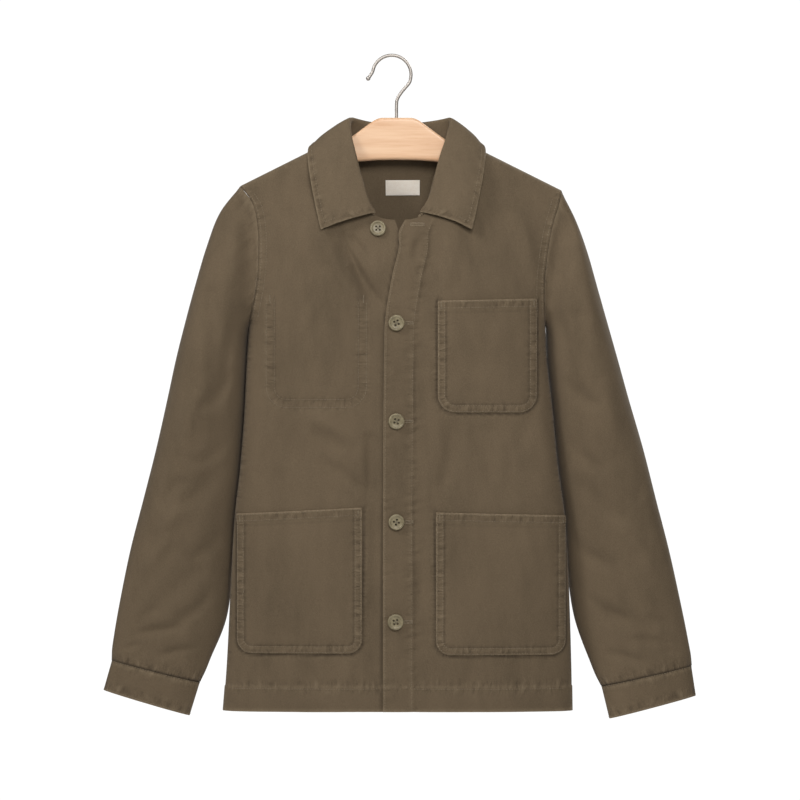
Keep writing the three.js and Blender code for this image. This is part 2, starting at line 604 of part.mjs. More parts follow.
function buildSleeve(side) {
  const table = side === 'left' ? SLEEVE_LEFT : SLEEVE_RIGHT;
  const turns = Array.from({ length: 2 * ARMHOLE_ROWS }, (_, step) => (Math.PI * step) / ARMHOLE_ROWS);
  const start = turns.map((turn) => {
    const face = turn < Math.PI ? 'front' : 'back';
    return armholePoint(side, face, (1 + Math.cos(turn)) / 2);
  });
  start[0].point.y = 0;
  start[ARMHOLE_ROWS].point.y = 0;
  const lastRing = table.length - 1;
  const rings = [];
  for (let step = 0; step <= SLEEVE_RINGS; step += 1) {
    const place = lastRing * (step / SLEEVE_RINGS);
    const ring = ringAt(table, place);
    const blend = 1 - smoothstep(place, 0, ARMHOLE_BLEND_RINGS);
    rings.push(turns.map((turn, index) => {
      const free = ringPoint(side, ring, turn);
      const seam = start[index].point.clone();
      const fromSeam = seam.clone().sub(ringPoint(side, table[0], turn));
      return free.addScaledVector(fromSeam, blend);
    }));
  }
  // The first ring stands off the armhole by the width of the seam
  rings[0].forEach((point, index) => {
    const way = rings[1][index].clone().sub(point).normalize();
    way.x += signOf(side);
    point.addScaledVector(way.normalize(), SEAM_GAP);
  });
  const inner = tubeInner(rings, WALL, start.map((edge) => edge.normal));
  addMesh(`sleeve_${side}`, wallBetween(rings, inner, true), CLOTH_LOOK);

  const seamRing = table[lastRing];
  const cuffRings = CUFF_SHARES.map((share) => {
    const ring = {};
    for (const name of RING_NAMES) {
      ring[name] = THREE.MathUtils.lerp(seamRing[name], CUFF_END[side][name], share);
    }
    ring.outerX -= CUFF_INSET * (1 - share);
    ring.innerX += CUFF_INSET * (1 - share);
    ring.outerZ -= SEAM_GAP * (1 - share);
    ring.innerZ -= SEAM_GAP * (1 - share);
    return turns.map((turn) => ringPoint(side, ring, turn));
  });
  addMesh(`cuff_${side}`, wallBetween(cuffRings, tubeInner(cuffRings, CUFF_WALL), true), CLOTH_LOOK);
}

// Point of the neck seam on the straight stretches between a panel's own points
function neckSeam(face, side, out) {
  const places = (face === 'front' ? frontPlaces(side) : backPlaces(side))[0];
  const surface = face === 'front' ? frontPoint : (at, o, z) => bodyPoint('back', at, o, z);
  const next = Math.max(places.findIndex((place) => place.out >= out - 1e-6), 1);
  const [before, after] = [places[next - 1], places[next]];
  const share = (out - before.out) / (after.out - before.out);
  return surface(side, before.out, before.z).lerp(surface(side, after.out, after.z), share);
}

// Points of one collar section, from the neck seam up to the roll and down to the edge
function collarSection(side, place) {
  const value = (name) => column(COLLAR, name, place, 'at');
  const sign = signOf(side);
  const face = place <= SIDE_STATION ? 'front' : 'back';
  const seam = neckSeam(face, side, Math.min(value('seam'), NECK_SIDE));
  const rollX = sign * value('rollX') + value('shift');
  const roll = new THREE.Vector3(rollX, value('rollY'), value('rollZ'));
  const edge = new THREE.Vector3(sign * value('edgeX'), value('edgeY'), value('edgeZ'));
  const down = seam.clone().add(edge).multiplyScalar(0.5).sub(roll).normalize();
  const outward = edge.clone().sub(seam);
  outward.addScaledVector(down, -outward.dot(down)).normalize();
  const centre = roll.clone().addScaledVector(down, ROLL_RADIUS);
  const insideRoll = centre.clone().addScaledVector(outward, -ROLL_RADIUS);
  const outsideRoll = centre.clone().addScaledVector(outward, ROLL_RADIUS);
  const stand = insideRoll.clone().sub(seam);
  seam.addScaledVector(stand.clone().normalize(), COLLAR_LIFT);
  const points = [seam, seam.clone().lerp(insideRoll, 0.5), insideRoll, roll, outsideRoll];
  for (const share of FALL_SHARES) {
    const bulge = FALL_BULGE * Math.sin(Math.PI * share);
    points.push(outsideRoll.clone().lerp(edge, share).addScaledVector(outward, bulge));
  }
  return points;
}

// The other face of a sheet, at a distance along the sheet's own direction
function sheetOffset(grid, distance) {
  return grid.map((line, row) => line.map((point, place) => {
    const across = line[Math.min(place + 1, line.length - 1)].clone().sub(line[Math.max(place - 1, 0)]);
    const next = grid[Math.min(row + 1, grid.length - 1)][place];
    const before = grid[Math.max(row - 1, 0)][place];
    const normal = across.cross(next.clone().sub(before)).normalize();
    return point.clone().addScaledVector(normal, distance);
  }));
}

function buildCollar() {
  const lastPlace = COLLAR.length - 1;
  const half = (side) => Array.from({ length: COLLAR_STEPS + 1 }, (_, step) =>
    collarSection(side, (lastPlace * step) / COLLAR_STEPS));
  const left = half('left');
  const right = half('right');
  const grid = [...left, ...right.slice(0, -1).reverse()];
  const collar = wallBetween(grid, sheetOffset(grid, COLLAR_WALL));
  addMesh('collar', collar, CLOTH_LOOK);
}

// Places across a patch: close together round its lower corners, and between them on the
// panel's own columns, given as shares of the panel's width
function patchColumns(patch) {
  const { side, fromX, toX, bottom, topFrom, corner } = patch;
  const near = CORNER_SHARES.map((share) => share * corner);
  const middleZ = (topFrom + bottom) / 2;
  const edgeOut = bodyEdge(side, middleZ);
  const start = frontEdge(side, middleZ);
  const between = panelShares(side)
    .map((share) => ({ share, out: THREE.MathUtils.lerp(start, edgeOut, share) }))
    .filter(({ out }) => out > fromX + corner + CORNER_CLEAR && out < toX - corner - CORNER_CLEAR);
  return [
    ...near.map((edge) => ({ edge, out: fromX + edge })),
    ...between.map(({ share, out }) => ({ edge: corner, share, out })),
    ...near.map((edge) => ({ edge, out: toX - edge, far: true })).reverse(),
  ];
}

// Patch that follows the front: gap and thickness are measured out from the cloth's outer face
function patchWall(patch, gap, thick) {
  const { side, fromX, toX, topFrom, topTo, bottom, corner, hem } = patch;
  const surface = (out, z) => frontPoint(side, out, z);
  const bodyRows = Math.round((topFrom - bottom) / PATCH_STEP);
  const hemRows = hem > 0 ? [0, hem, hem + 1] : [0];
  const lastHemRow = hemRows.length - 1;
  const inner = [];
  const outer = [];
  for (let row = 0; row <= lastHemRow + bodyRows; row += 1) {
    const line = patchColumns(patch).map(({ edge, share, out: nominal, far }) => {
      const top = THREE.MathUtils.mapLinear(nominal, fromX, toX, topFrom, topTo);
      const cut = corner - edge;
      const low = bottom + corner - Math.sqrt(corner * corner - cut * cut);
      const down = Math.max(row - lastHemRow, 0) / bodyRows;
      const z = THREE.MathUtils.lerp(top - hemRows[Math.min(row, lastHemRow)], low, down);
      const sideOut = Math.min(toX, bodyEdge(side, z) - SIDE_INSET) - edge;
      const between = THREE.MathUtils.lerp(frontEdge(side, z), bodyEdge(side, z), share ?? 0);
      const out = share === undefined ? nominal : between;
      const point = surface(far ? sideOut : out, z);
      const normal = outwardAt(surface, far ? sideOut : out, z, -1);
      const turned = hem > 0 && row < lastHemRow ? TURNED_EDGE : 0;
      return {
        near: point.clone().addScaledVector(normal, gap),
        far: point.clone().addScaledVector(normal, gap + thick + turned),
      };
    });
    inner.push(line.map((pair) => pair.near));
    outer.push(line.map((pair) => pair.far));
  }
  return wallBetween(outer, inner);
}

function buildPockets() {
  for (const pocket of POCKETS) {
    addMesh(pocket.name, patchWall(pocket, PATCH_GAP, POCKET_WALL), CLOTH_LOOK);
  }
  const behind = -(WALL + INNER_POCKET_GAP + INNER_POCKET_WALL);
  addMesh(INNER_POCKET.name, patchWall(INNER_POCKET, behind, INNER_POCKET_WALL), CLOTH_LOOK);
}

// Small woven tab inside the back, under the neck seam
function buildLabel() {
  const surface = (out, z) => bodyPoint('back', 'left', out, z);
  const inner = [];
  const outer = [];
  for (const down of LABEL_ROWS) {
    const line = LABEL_COLUMNS.map((across) => {
      const out = LABEL.centreX + across * LABEL.wide;
      const z = LABEL.centreZ + down * LABEL.tall;
      return { point: surface(out, z), normal: outwardAt(surface, out, z, 1) };
    });
    const movedIn = (depth) => line.map(({ point, normal }) =>
      point.clone().addScaledVector(normal, -depth));
    outer.push(movedIn(WALL + PATCH_GAP));
    inner.push(movedIn(WALL + PATCH_GAP + LABEL.thick));
  }
  addMesh('neck_label', wallBetween(outer, inner), LABEL_LOOK);
}

function toManifold(geometry) {
  const bare = geometry.clone();
  bare.deleteAttribute('normal');
  bare.deleteAttribute('uv');
  const merged = mergeVertices(bare, 1e-4);
  return new wasm.Manifold(new wasm.Mesh({
    numProp: 3,
    vertProperties: new Float32Array(merged.attributes.position.array),
    triVerts: new Uint32Array(merged.index.array),
  }));
}

function fromManifold(solid) {
  const mesh = solid.getMesh();
  const geometry = new THREE.BufferGeometry();
  geometry.setAttribute('position', new THREE.BufferAttribute(mesh.vertProperties, 3));
  geometry.setIndex([...mesh.triVerts]);
  return geometry;
}

function buttonGeometry() {
  const profile = BUTTON_PROFILE.map(({ out, up }) => new THREE.Vector2(out, up));
  let button = toManifold(new THREE.LatheGeometry(profile, BUTTON_SEGMENTS));
  for (const x of [-BUTTON_HOLE_OUT, BUTTON_HOLE_OUT]) {
    for (const z of [-BUTTON_HOLE_OUT, BUTTON_HOLE_OUT]) {
      const radius = BUTTON_HOLE_RADIUS;
      const hole = new THREE.CylinderGeometry(radius, radius, BUTTON_HOLE_TALL, BUTTON_HOLE_SIDES);
      button = button.subtract(toManifold(hole.translate(x, 0, z)));
    }
  }
  return fromManifold(button);
}

function buildButtons() {
  for (const { name, side, x, z } of BUTTONS) {
    const out = signOf(side) * x;
    const surface = (o, h) => frontPoint(side, o, h);
    const normal = outwardAt(surface, out, z, -1);
    const stand = side === 'left' ? TURNED_EDGE + BUTTON_GAP : BUTTON_GAP;
    const mesh = addMesh(name, buttonGeometry(), BUTTON_LOOK);
    mesh.position.copy(surface(out, z).addScaledVector(normal, stand));
    mesh.quaternion.setFromUnitVectors(new THREE.Vector3(0, 1, 0), normal);
  }
}

function buildHanger() {
  const { start, end, tall, round } = BOARD_ARM;
  const armTop = (x) => ridge(x) - BOARD_CLEAR;
  const half = [
    ...BOARD_HEAD,
    { x: start, z: armTop(start) },
    { x: end - round, z: armTop(end - round) },
    { x: end, z: armTop(end) - round },
    { x: end, z: armTop(end) - tall + round },
    { x: end - round, z: armTop(end) - tall },
    ...BOARD_BOTTOM,
  ];
  const other = half.slice(0, -1).reverse().map(({ x, z }) => ({ x: -x, z }));
  const outline = new THREE.Shape([...half, ...other].map(({ x, z }) => new THREE.Vector2(x, z)));
  const board = new THREE.ExtrudeGeometry(outline, {
    depth: BOARD_THICK - 2 * BOARD_BEVEL,
    bevelThickness: BOARD_BEVEL,
    bevelSize: BOARD_BEVEL,
    bevelOffset: -BOARD_BEVEL,
    bevelSegments: 2,
  });
  board.translate(0, 0, BOARD_BEVEL - BOARD_THICK / 2).rotateX(Math.PI / 2);
  const radius = STEM_BORE_RADIUS;
  const bore = new THREE.CylinderGeometry(radius, radius, STEM_BORE_TALL, STEM_BORE_SIDES);
  bore.rotateX(Math.PI / 2).translate(0, 0, STEM_BOTTOM_Z - SEAM_GAP + STEM_BORE_TALL / 2);
  addMesh('hanger', fromManifold(toManifold(board).subtract(toManifold(bore))), WOOD_LOOK);
}

function buildHook() {
  const place = ({ x, z }) => new THREE.Vector3(x, 0, z);
  const stem = [{ x: 0, z: STEM_BOTTOM_Z }, { x: 0, z: BOARD_HEAD[0].z }];
  const points = [...stem, ...HOOK_BENDS].map(place);
  const middleZ = WIRE_RADIUS - HOOK_RADIUS;
  for (let step = 0; step <= HOOK_ARC_STEPS; step += 1) {
    const degrees = THREE.MathUtils.lerp(HOOK_START, HOOK_FINISH, step / HOOK_ARC_STEPS);
    const turn = THREE.MathUtils.degToRad(degrees);
    points.push(place({
      x: HOOK_RADIUS * Math.cos(turn) - CENTRE_X,
      z: middleZ + HOOK_RADIUS * Math.sin(turn),
    }));
  }
  points.push(...HOOK_TAIL.map(place));
  const path = new THREE.CatmullRomCurve3(points, false, 'centripetal');
  const section = new THREE.Shape();
  section.absarc(0, 0, WIRE_RADIUS, 0, 2 * Math.PI);
  const wire = new THREE.ExtrudeGeometry(section, {
    steps: HOOK_STEPS,
    extrudePath: path,
    curveSegments: WIRE_CURVE_SEGMENTS,
  });
  const { around, up } = HOOK_BALL_SEGMENTS;
  const ball = new THREE.SphereGeometry(HOOK_BALL_RADIUS, around, up);
  const end = points[points.length - 1];
  ball.translate(end.x, end.y, end.z);
  addMesh('hook', fromManifold(toManifold(wire).add(toManifold(ball))), WIRE_LOOK);
}

buildBack();
buildFront('left');
buildFront('right');
buildSleeve('left');
buildSleeve('right');
buildCollar();
buildPockets();
buildLabel();
buildButtons();
buildHanger();
buildHook();

export default group;
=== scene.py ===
"""Looks of the chore jacket on its hanger: cloth shells, stitching, buttons, wood and wire.

Sizes are millimetres from the jacket's centre plane until a mesh is made. The front faces -Y
and the wearer's left side is at +X.
"""
import math
from functools import partial

import bpy
import numpy as np
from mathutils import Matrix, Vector


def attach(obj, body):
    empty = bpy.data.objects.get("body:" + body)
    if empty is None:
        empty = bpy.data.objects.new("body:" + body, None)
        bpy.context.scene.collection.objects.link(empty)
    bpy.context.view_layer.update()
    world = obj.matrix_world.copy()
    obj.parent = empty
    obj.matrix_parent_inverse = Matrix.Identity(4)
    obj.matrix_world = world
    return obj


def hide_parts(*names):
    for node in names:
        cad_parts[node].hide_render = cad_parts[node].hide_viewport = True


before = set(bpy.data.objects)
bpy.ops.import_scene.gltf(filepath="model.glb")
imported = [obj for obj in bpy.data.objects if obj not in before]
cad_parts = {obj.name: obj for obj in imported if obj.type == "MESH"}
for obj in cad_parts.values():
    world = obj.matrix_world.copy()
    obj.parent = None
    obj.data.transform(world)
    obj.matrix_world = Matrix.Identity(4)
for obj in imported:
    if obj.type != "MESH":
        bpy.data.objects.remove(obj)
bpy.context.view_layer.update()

MM = 0.001
CENTRE_X = 6

# Cloth
WALL = 1.5
COLLAR_WALL = 2.4
CUFF_WALL = 2.4
POCKET_WALL = 1.4
SEAM_GAP = 0.3
PATCH_GAP = 0.4
SIDE_INSET = 2.5
TURNED_EDGE = 0.8

# Body
HEM_Z = -820
HEM_TALL = 31
NECK_SIDE = 78
NECK_SIDE_Z = -103
SHOULDER_SLOPE = 0.5
FRONT_NECK_Z = -206
BACK_NECK_Z = -125
UNDERARM_Z = -336
TIP_Z = {"left": -168, "right": -162}
SIDE_ROUNDNESS = 3
ARMHOLE_FLARE = 0.75
ARMHOLE_FLARE_START = 40
SHOULDER_ROLL = 9.8
NECK_ROLL_MORE = 5
NECK_ROLL_END = 150
DROP_TO_FULL_DEPTH = 230
DROP_POWER = 1.25
DEPTH = {"front": 47, "back": 43}
HEM_DEPTH_SHARE = 0.86
FACING_LAP = 2.6
FACING_WIDTH = 38
LAP_FADE_OUT = (30, 110)
LAP_FADE_DROP = (15, 70)
FOLD_CALM_TOP = (10, 60)
FOLD_CALM_HEM = (-40, 60)
SWELL_CALM_TOP = (8, 40)
SEAM_CALM_TOP = (0, 14)
SEAM_CALM_SIDE = 1.6
SLEEVE_ROUNDNESS = 2.2
ARMHOLE_BLEND_RINGS = 2.2
CUFF_INSET = 1.2


def table(names, *rows):
    return {name: np.array(values, float) for name, values in zip(names.split(), zip(*rows))}


# Distance from the centre plane to the armhole, then to the side seam
BODY_EDGE = table(
    "z left right",
    (-162, 208, 196), (-185, 204, 180), (-211, 196, 174), (-246, 189.5, 172.5), (-285, 185.5, 175),
    (-336, 187, 184.5), (-380, 189, 188), (-447, 196.5, 191.3), (-515, 203, 196.5),
    (-575, 211.5, 203), (-650, 216, 207.5), (-760, 219.5, 213), (-820, 220.5, 217.5),
)
# X of the front edges: the left front lies on top, the right front runs under it
FRONT_EDGE = table(
    "z left right",
    (-206, 10.6, -1.9), (-221, 3, 3), (-240, 3, 8), (-277, -5.6, 14), (-322, -13, 20),
    (-345, -15, 22), (-556, -16.9, 22), (-820, -16.9, 22),
)
# Sleeve rings in the front view: outer and inner point, half depth front to back, and how far
# the inner side lies behind the centre, tucked back behind the body's side seam
RING_NAMES = "ring outer_x outer_z inner_x inner_z depth lean"
SLEEVES = {
    "left": table(
        RING_NAMES,
        (0, 208, -168, 187, -336, 36, 0), (1, 226, -206, 187.8, -342, 39, 7),
        (2, 240, -246, 188.1, -350, 44, 14), (3, 253, -292, 187.9, -363, 48, 20),
        (4, 266, -338, 189.2, -386, 50, 20), (5, 279, -384, 192.6, -416, 51, 20),
        (6, 292, -431, 196.2, -452, 50, 20), (7, 310, -493, 202.4, -514, 47, 20),
        (8, 326, -556, 211, -580, 42, 20), (9, 342, -618, 215.2, -645, 35, 20),
        (10, 356, -681, 224, -705, 29, 16), (11, 366.5, -733, 243.5, -760, 23, 10),
        (12, 371, -764, 257, -790, 19, 6),
    ),
    "right": table(
        RING_NAMES,
        (0, 196, -162, 184.5, -336, 36, 0), (1, 222, -196, 185.2, -342, 39, 7),
        (2, 238, -237, 185.8, -350, 44, 14), (3, 252, -284, 186.8, -363, 48, 20),
        (4, 265, -332, 187.6, -386, 50, 20), (5, 277, -380, 189.4, -416, 51, 20),
        (6, 288, -431, 190.8, -452, 50, 20), (7, 302, -493, 196, -516, 47, 20),
        (8, 318, -556, 203, -582, 42, 20), (9, 334, -618, 206.6, -645, 35, 20),
        (10, 347, -681, 214, -705, 29, 16), (11, 355.5, -730, 233.5, -755, 23, 10),
        (12, 358, -757, 246.5, -785, 19, 6),
    ),
}
CUFF_END = {
    "left": dict(outer_x=375.5, outer_z=-802, inner_x=268, inner_z=-831, depth=16, lean=4),
    "right": dict(outer_x=367.5, outer_z=-795, inner_x=260.5, inner_z=-827, depth=16, lean=4),
}
# Collar stations from the front end round to the centre back, on one side. The roll stands a
# little towards the wearer's left, by the shift.
COLLAR = table(
    "at seam roll_x roll_y roll_z edge_x edge_y edge_z shift",
    (0, 27, 29, -34, -198, 94, -41, -218.5, 1.5), (1, 45, 38, -31, -184, 99, -36, -198, 2),
    (2, 60, 45.7, -27, -158, 104, -29, -174, 2), (3, 70, 53, -22, -131, 108.5, -25, -150, 2),
    (4, 76, 60.5, -13, -102, 111, -16, -129, 3), (5, 78, 65, -1, -79, 108.5, 1, -113, 5),
    (6, 60, 50, 12, -80.5, 88, 20, -114, 4), (7, 30, 26, 16, -84, 46, 26, -127, 2),
    (8, 0, 0, 17, -85.5, 0, 27, -130, 0),
)
COLLAR_LIFT = 0.4
ROLL_RADIUS = 2
FALL_BULGE = 3
FALL_SHARES = (0.3, 0.6, 0.85, 1)
SIDE_STATION = 5

# Patches: sides, top edge at both ends, bottom, corner radius and turned top
PATCH_NAMES = ("side", "start", "end", "top_start", "top_end", "bottom", "corner", "hem")
POCKETS = {
    "chest_pocket": dict(zip(PATCH_NAMES, ("left", 51.6, 175, -307.5, -304.5, -446.5, 22, 11))),
    "lower_pocket_left": dict(zip(PATCH_NAMES, ("left", 49.4, 211, -571, -575, -749, 18, 11))),
    "lower_pocket_right": dict(zip(PATCH_NAMES, ("right", 43, 199, -565, -573, -747, 18, 11))),
}
INNER_POCKET = dict(zip(PATCH_NAMES, ("right", 37, 163, -307, -304, -441, 26, 0)))
INNER_POCKET_WALL = 1
INNER_POCKET_GAP = 0.9

# Folds: a trough (or a ridge where the depth is below zero) from one point to another of the
# front view. Each has x and z of both ends, width, depth and how far its middle is bent aside.
BODY_FOLDS = {
    "front": (
        (-77, -226, -26, -304, 13, 4.5, 0), (45, -232, 40, -300, 12, 3, 0),
        (-110, -150, -150, -290, 16, 3, 0), (120, -150, 158, -285, 16, 2.5, 0),
        (-120, -480, -60, -540, 20, 3, 0), (32, -660, 40, -800, 14, 3, 0),
        (-32, -480, -28, -800, 9, 2.5, 0),
    ),
    "back": (
        (-60, -190, -35, -430, 22, 5, 0), (70, -200, 52, -520, 24, 5, 0),
        (-150, -330, -95, -600, 22, 4, 0), (150, -340, 120, -640, 22, 4, 0),
        (4, -480, -8, -800, 26, 4, 0),
    ),
}
SLEEVE_FOLDS = {
    ("right", "front"): (
        (205, -190, 190, -320, 9, 5, 0), (232, -300, 222, -470, 12, 4, 0),
        (222, -520, 262, -560, 12, 4, 0), (246, -640, 300, -690, 12, 3, 0),
    ),
    ("left", "front"): (
        (222, -200, 196, -330, 10, 4, 0), (230, -330, 226, -480, 12, 4, 0),
        (232, -540, 276, -580, 12, 4, 0), (262, -700, 316, -716, 11, 3, 0),
    ),
    ("right", "back"): ((225, -260, 235, -440, 14, 5, 0), (250, -520, 290, -580, 13, 4, 0)),
    ("left", "back"): ((228, -260, 240, -440, 14, 5, 0), (262, -520, 300, -600, 13, 4, 0)),
}
# Smaller creases that only the looks carry, with one measure for all of them
CREASE_DEPTH = 3.2
PUCKER_DEPTH = 1.6
BODY_CREASES = {
    "front": (
        (-71, -223, -12, -322, 5, 1.5, -3), (-84, -232, -40, -318, 8, -1.1, -4),
        (-112, -226, -110, -326, 8, 1.0, 2), (-127, -328, -124, -436, 7, 0.9, 2),
        (-36, -470, -34, -560, 6, 1.0, 2), (-108, -470, -66, -498, 9, 0.9, 3),
        (-64, -222, -34, -262, 6, 1.2, 3),
        (-58, -262, -30, -318, 5, 1.2, 2), (-104, -178, -88, -262, 12, -1.5, 6),
        (60, -226, 66, -292, 9, -1.3, 4), (28, -228, 24, -262, 5, 1.2, -2),
        (84, -196, 120, -292, 12, 1.3, -6), (150, -190, 172, -300, 9, -1.4, 5),
        (-168, -330, -150, -470, 13, 1.6, -8), (-150, -400, -176, -520, 12, -1.6, 6),
        (-112, -452, -52, -486, 8, -1.2, 5), (-96, -500, -30, -548, 8, 1.3, -4),
        (-74, -520, -44, -556, 6, -1, 2), (70, -455, 54, -550, 11, 1.4, 5),
        (100, -462, 150, -560, 13, 1.3, -8), (172, -380, 150, -500, 11, 1.3, 8),
        (180, -460, 196, -560, 9, -1.2, 4), (120, -470, 128, -540, 9, -1, 5),
        (-40, -560, -36, -690, 7, -1, 2), (36, -590, 30, -700, 7, 1, -2),
        (-120, -752, -96, -806, 9, 1, 3), (-60, -750, -66, -800, 8, -1, 2),
        (96, -752, 84, -806, 9, 1, 3), (150, -754, 158, -800, 8, 1, -2),
        (-196, -560, -200, -760, 6, 1.4, 3), (196, -300, 190, -420, 7, 1.3, 2),
    ),
    "back": (
        (-100, -180, -140, -320, 14, 1.8, 8), (110, -180, 150, -330, 14, 1.8, -8),
        (-20, -200, -4, -330, 12, -1.6, 5), (20, -330, 34, -470, 13, 1.5, -6),
        (-70, -440, -40, -560, 14, -1.6, 6), (80, -540, 60, -700, 14, 1.6, -6),
        (-110, -600, -120, -760, 13, 1.4, 6), (150, -640, 160, -790, 12, 1.3, 5),
        (-40, -640, -50, -780, 12, -1.3, -5), (30, -700, 36, -800, 10, 1.2, 4),
        (-176, -420, -160, -560, 10, 1.3, 5), (178, -440, 166, -600, 10, 1.3, -5),
    ),
}
SLEEVE_CREASES = {
    ("right", "front"): (
        (214, -196, 204, -292, 7, -1.8, 3), (226, -230, 236, -330, 12, 1.6, 5),
        (200, -330, 214, -420, 8, 1.5, 4), (206, -392, 250, -446, 9, 1.6, -6),
        (244, -420, 268, -500, 12, -1.4, 6), (206, -470, 250, -512, 9, 1.5, -5),
        (262, -528, 296, -566, 8, 1.3, 4), (214, -590, 262, -632, 9, 1.6, -5),
        (280, -600, 316, -650, 9, -1.2, 4), (228, -668, 286, -716, 8, 1.4, -4),
        (262, -716, 336, -728, 6, 1.4, 4), (244, -742, 300, -752, 5, 1.1, 3),
        (300, -690, 330, -720, 7, 1, 3), (318, -736, 344, -744, 4, 0.9, 1),
        (250, -560, 300, -600, 10, -1.1, 5), (290, -500, 300, -560, 8, 1, 3),
    ),
    ("left", "front"): (
        (206, -196, 198, -300, 6, -1.6, -3), (236, -240, 226, -330, 12, 1.4, -5),
        (204, -320, 212, -400, 8, 1.4, 4), (210, -400, 256, -440, 9, 1.6, -6),
        (256, -404, 272, -500, 11, -1.3, 5), (214, -480, 262, -520, 9, 1.5, -5),
        (278, -520, 306, -560, 8, 1.1, 4), (222, -606, 276, -640, 9, 1.6, -5),
        (292, -600, 322, -652, 9, -1.2, 4), (238, -676, 296, -708, 7, 1.4, -4),
        (290, -730, 348, -740, 6, 1.3, 3), (258, -748, 316, -762, 5, 1.2, 3),
        (312, -700, 346, -722, 6, 1, 3), (330, -744, 358, -750, 4, 0.9, 1),
        (262, -580, 306, -616, 9, -1, 4), (300, -500, 308, -560, 8, 1, 3),
    ),
    ("right", "back"): (
        (206, -210, 200, -320, 8, 1.6, 3), (210, -400, 258, -450, 10, 1.6, -6),
        (216, -470, 262, -510, 9, 1.4, -5), (230, -620, 290, -660, 10, 1.5, -5),
        (250, -700, 320, -726, 8, 1.3, 4), (262, -420, 276, -520, 11, -1.3, 5),
    ),
    ("left", "back"): (
        (214, -210, 204, -320, 8, 1.6, -3), (216, -400, 262, -450, 10, 1.6, -6),
        (220, -476, 268, -520, 9, 1.4, -5), (240, -620, 300, -660, 10, 1.5, -5),
        (262, -706, 334, -734, 8, 1.3, 4), (270, -420, 284, -520, 11, -1.3, 5),
    ),
}


def smoothstep(value, start, end):
    t = np.clip((value - start) / (end - start), 0, 1)
    return t * t * (3 - 2 * t)


def lerp(start, end, share):
    return start + (end - start) * share


def bell(distance, reach):
    """One on a line, running out softly to both sides of it."""
    return np.exp(-((distance / reach) ** 2))


def column(rows, name, place, along="z"):
    """Values of one named column of a table, by a smooth curve through its rows."""
    keys, values = rows[along], rows[name]
    place = np.asarray(place, float)
    last = len(keys) - 1
    way = np.sign(keys[last] - keys[0])
    row = np.clip(np.searchsorted(way * keys, way * place) - 1, 0, last - 1)
    span = keys[row + 1] - keys[row]
    t = np.clip((place - keys[row]) / span, 0, 1)
    index = np.arange(last + 1)
    before, after = np.maximum(index - 1, 0), np.minimum(index + 1, last)
    slope = (values[after] - values[before]) / (keys[after] - keys[before])
    ease = t * t * (3 - 2 * t)
    leaving = t * (1 - t) ** 2 * span * slope[row]
    arriving = t * t * (1 - t) * span * slope[row + 1]
    return lerp(values[row], values[row + 1], ease) + leaving - arriving


SIDES = ("left", "right")
OUTWARD = {"front": -1, "back": 1}


def sign_of(side):
    return 1 if side == "left" else -1


def ridge(out):
    """Height of the shoulder line at a distance from the centre plane."""
    return NECK_SIDE_Z - SHOULDER_SLOPE * np.maximum(out - NECK_SIDE, 0)


def neckline(out, centre, bottom_z):
    """Height of the neck seam, a quarter of an ellipse from its centre to the neck's side."""
    part = np.clip((out - centre) / (NECK_SIDE - centre), 0, 1)
    return NECK_SIDE_Z - (NECK_SIDE_Z - bottom_z) * np.sqrt(1 - part * part)


def body_edge(side, z):
    return column(BODY_EDGE, side, np.minimum(z, TIP_Z[side]))


def front_edge(side, z):
    """Distance outward of a front's own edge at the opening."""
    return sign_of(side) * column(FRONT_EDGE, side, z)


def body_roll(out, drop, depth):
    """How far the cloth has come forward of the shoulder line after dropping some way."""
    roll = SHOULDER_ROLL + NECK_ROLL_MORE * (1 - smoothstep(out, NECK_SIDE, NECK_ROLL_END))
    part = np.minimum(drop / roll, 1)
    quarter = np.sqrt(1 - (1 - part) ** 2)
    rise = np.sin(math.pi / 2 * np.minimum(drop / DROP_TO_FULL_DEPTH, 1)) ** DROP_POWER
    return roll * quarter + (depth - roll) * rise


def across_share(side, out, z):
    above = np.maximum(z - UNDERARM_Z, 0)
    flare = ARMHOLE_FLARE * above * above / (above + ARMHOLE_FLARE_START)
    reach = body_edge(side, np.minimum(z, UNDERARM_Z)) + flare
    part = np.minimum(np.abs(out) / reach, 1)
    return (1 - part ** SIDE_ROUNDNESS) ** (1 / SIDE_ROUNDNESS)


def fold_depth(folds, x, z, tapered=False):
    """Depth of folds at places of the front view. Tapered ones run out softly at both ends."""
    total = np.zeros(np.broadcast(x, z).shape)
    for from_x, from_z, to_x, to_z, wide, deep, bend in folds:
        run_x, run_z = to_x - from_x, to_z - from_z
        length = math.hypot(run_x, run_z)
        along = ((x - from_x) * run_x + (z - from_z) * run_z) / length**2
        near = np.clip(along, 0, 1)
        aside = ((z - from_z) * run_x - (x - from_x) * run_z) / length - 4 * bend * near * (1 - near)
        past = (along - near) * length
        ends = np.sin(math.pi * near) ** 0.7 if tapered else 1
        total += deep * ends * np.exp(-(aside**2 + past**2) / wide**2)
    return total


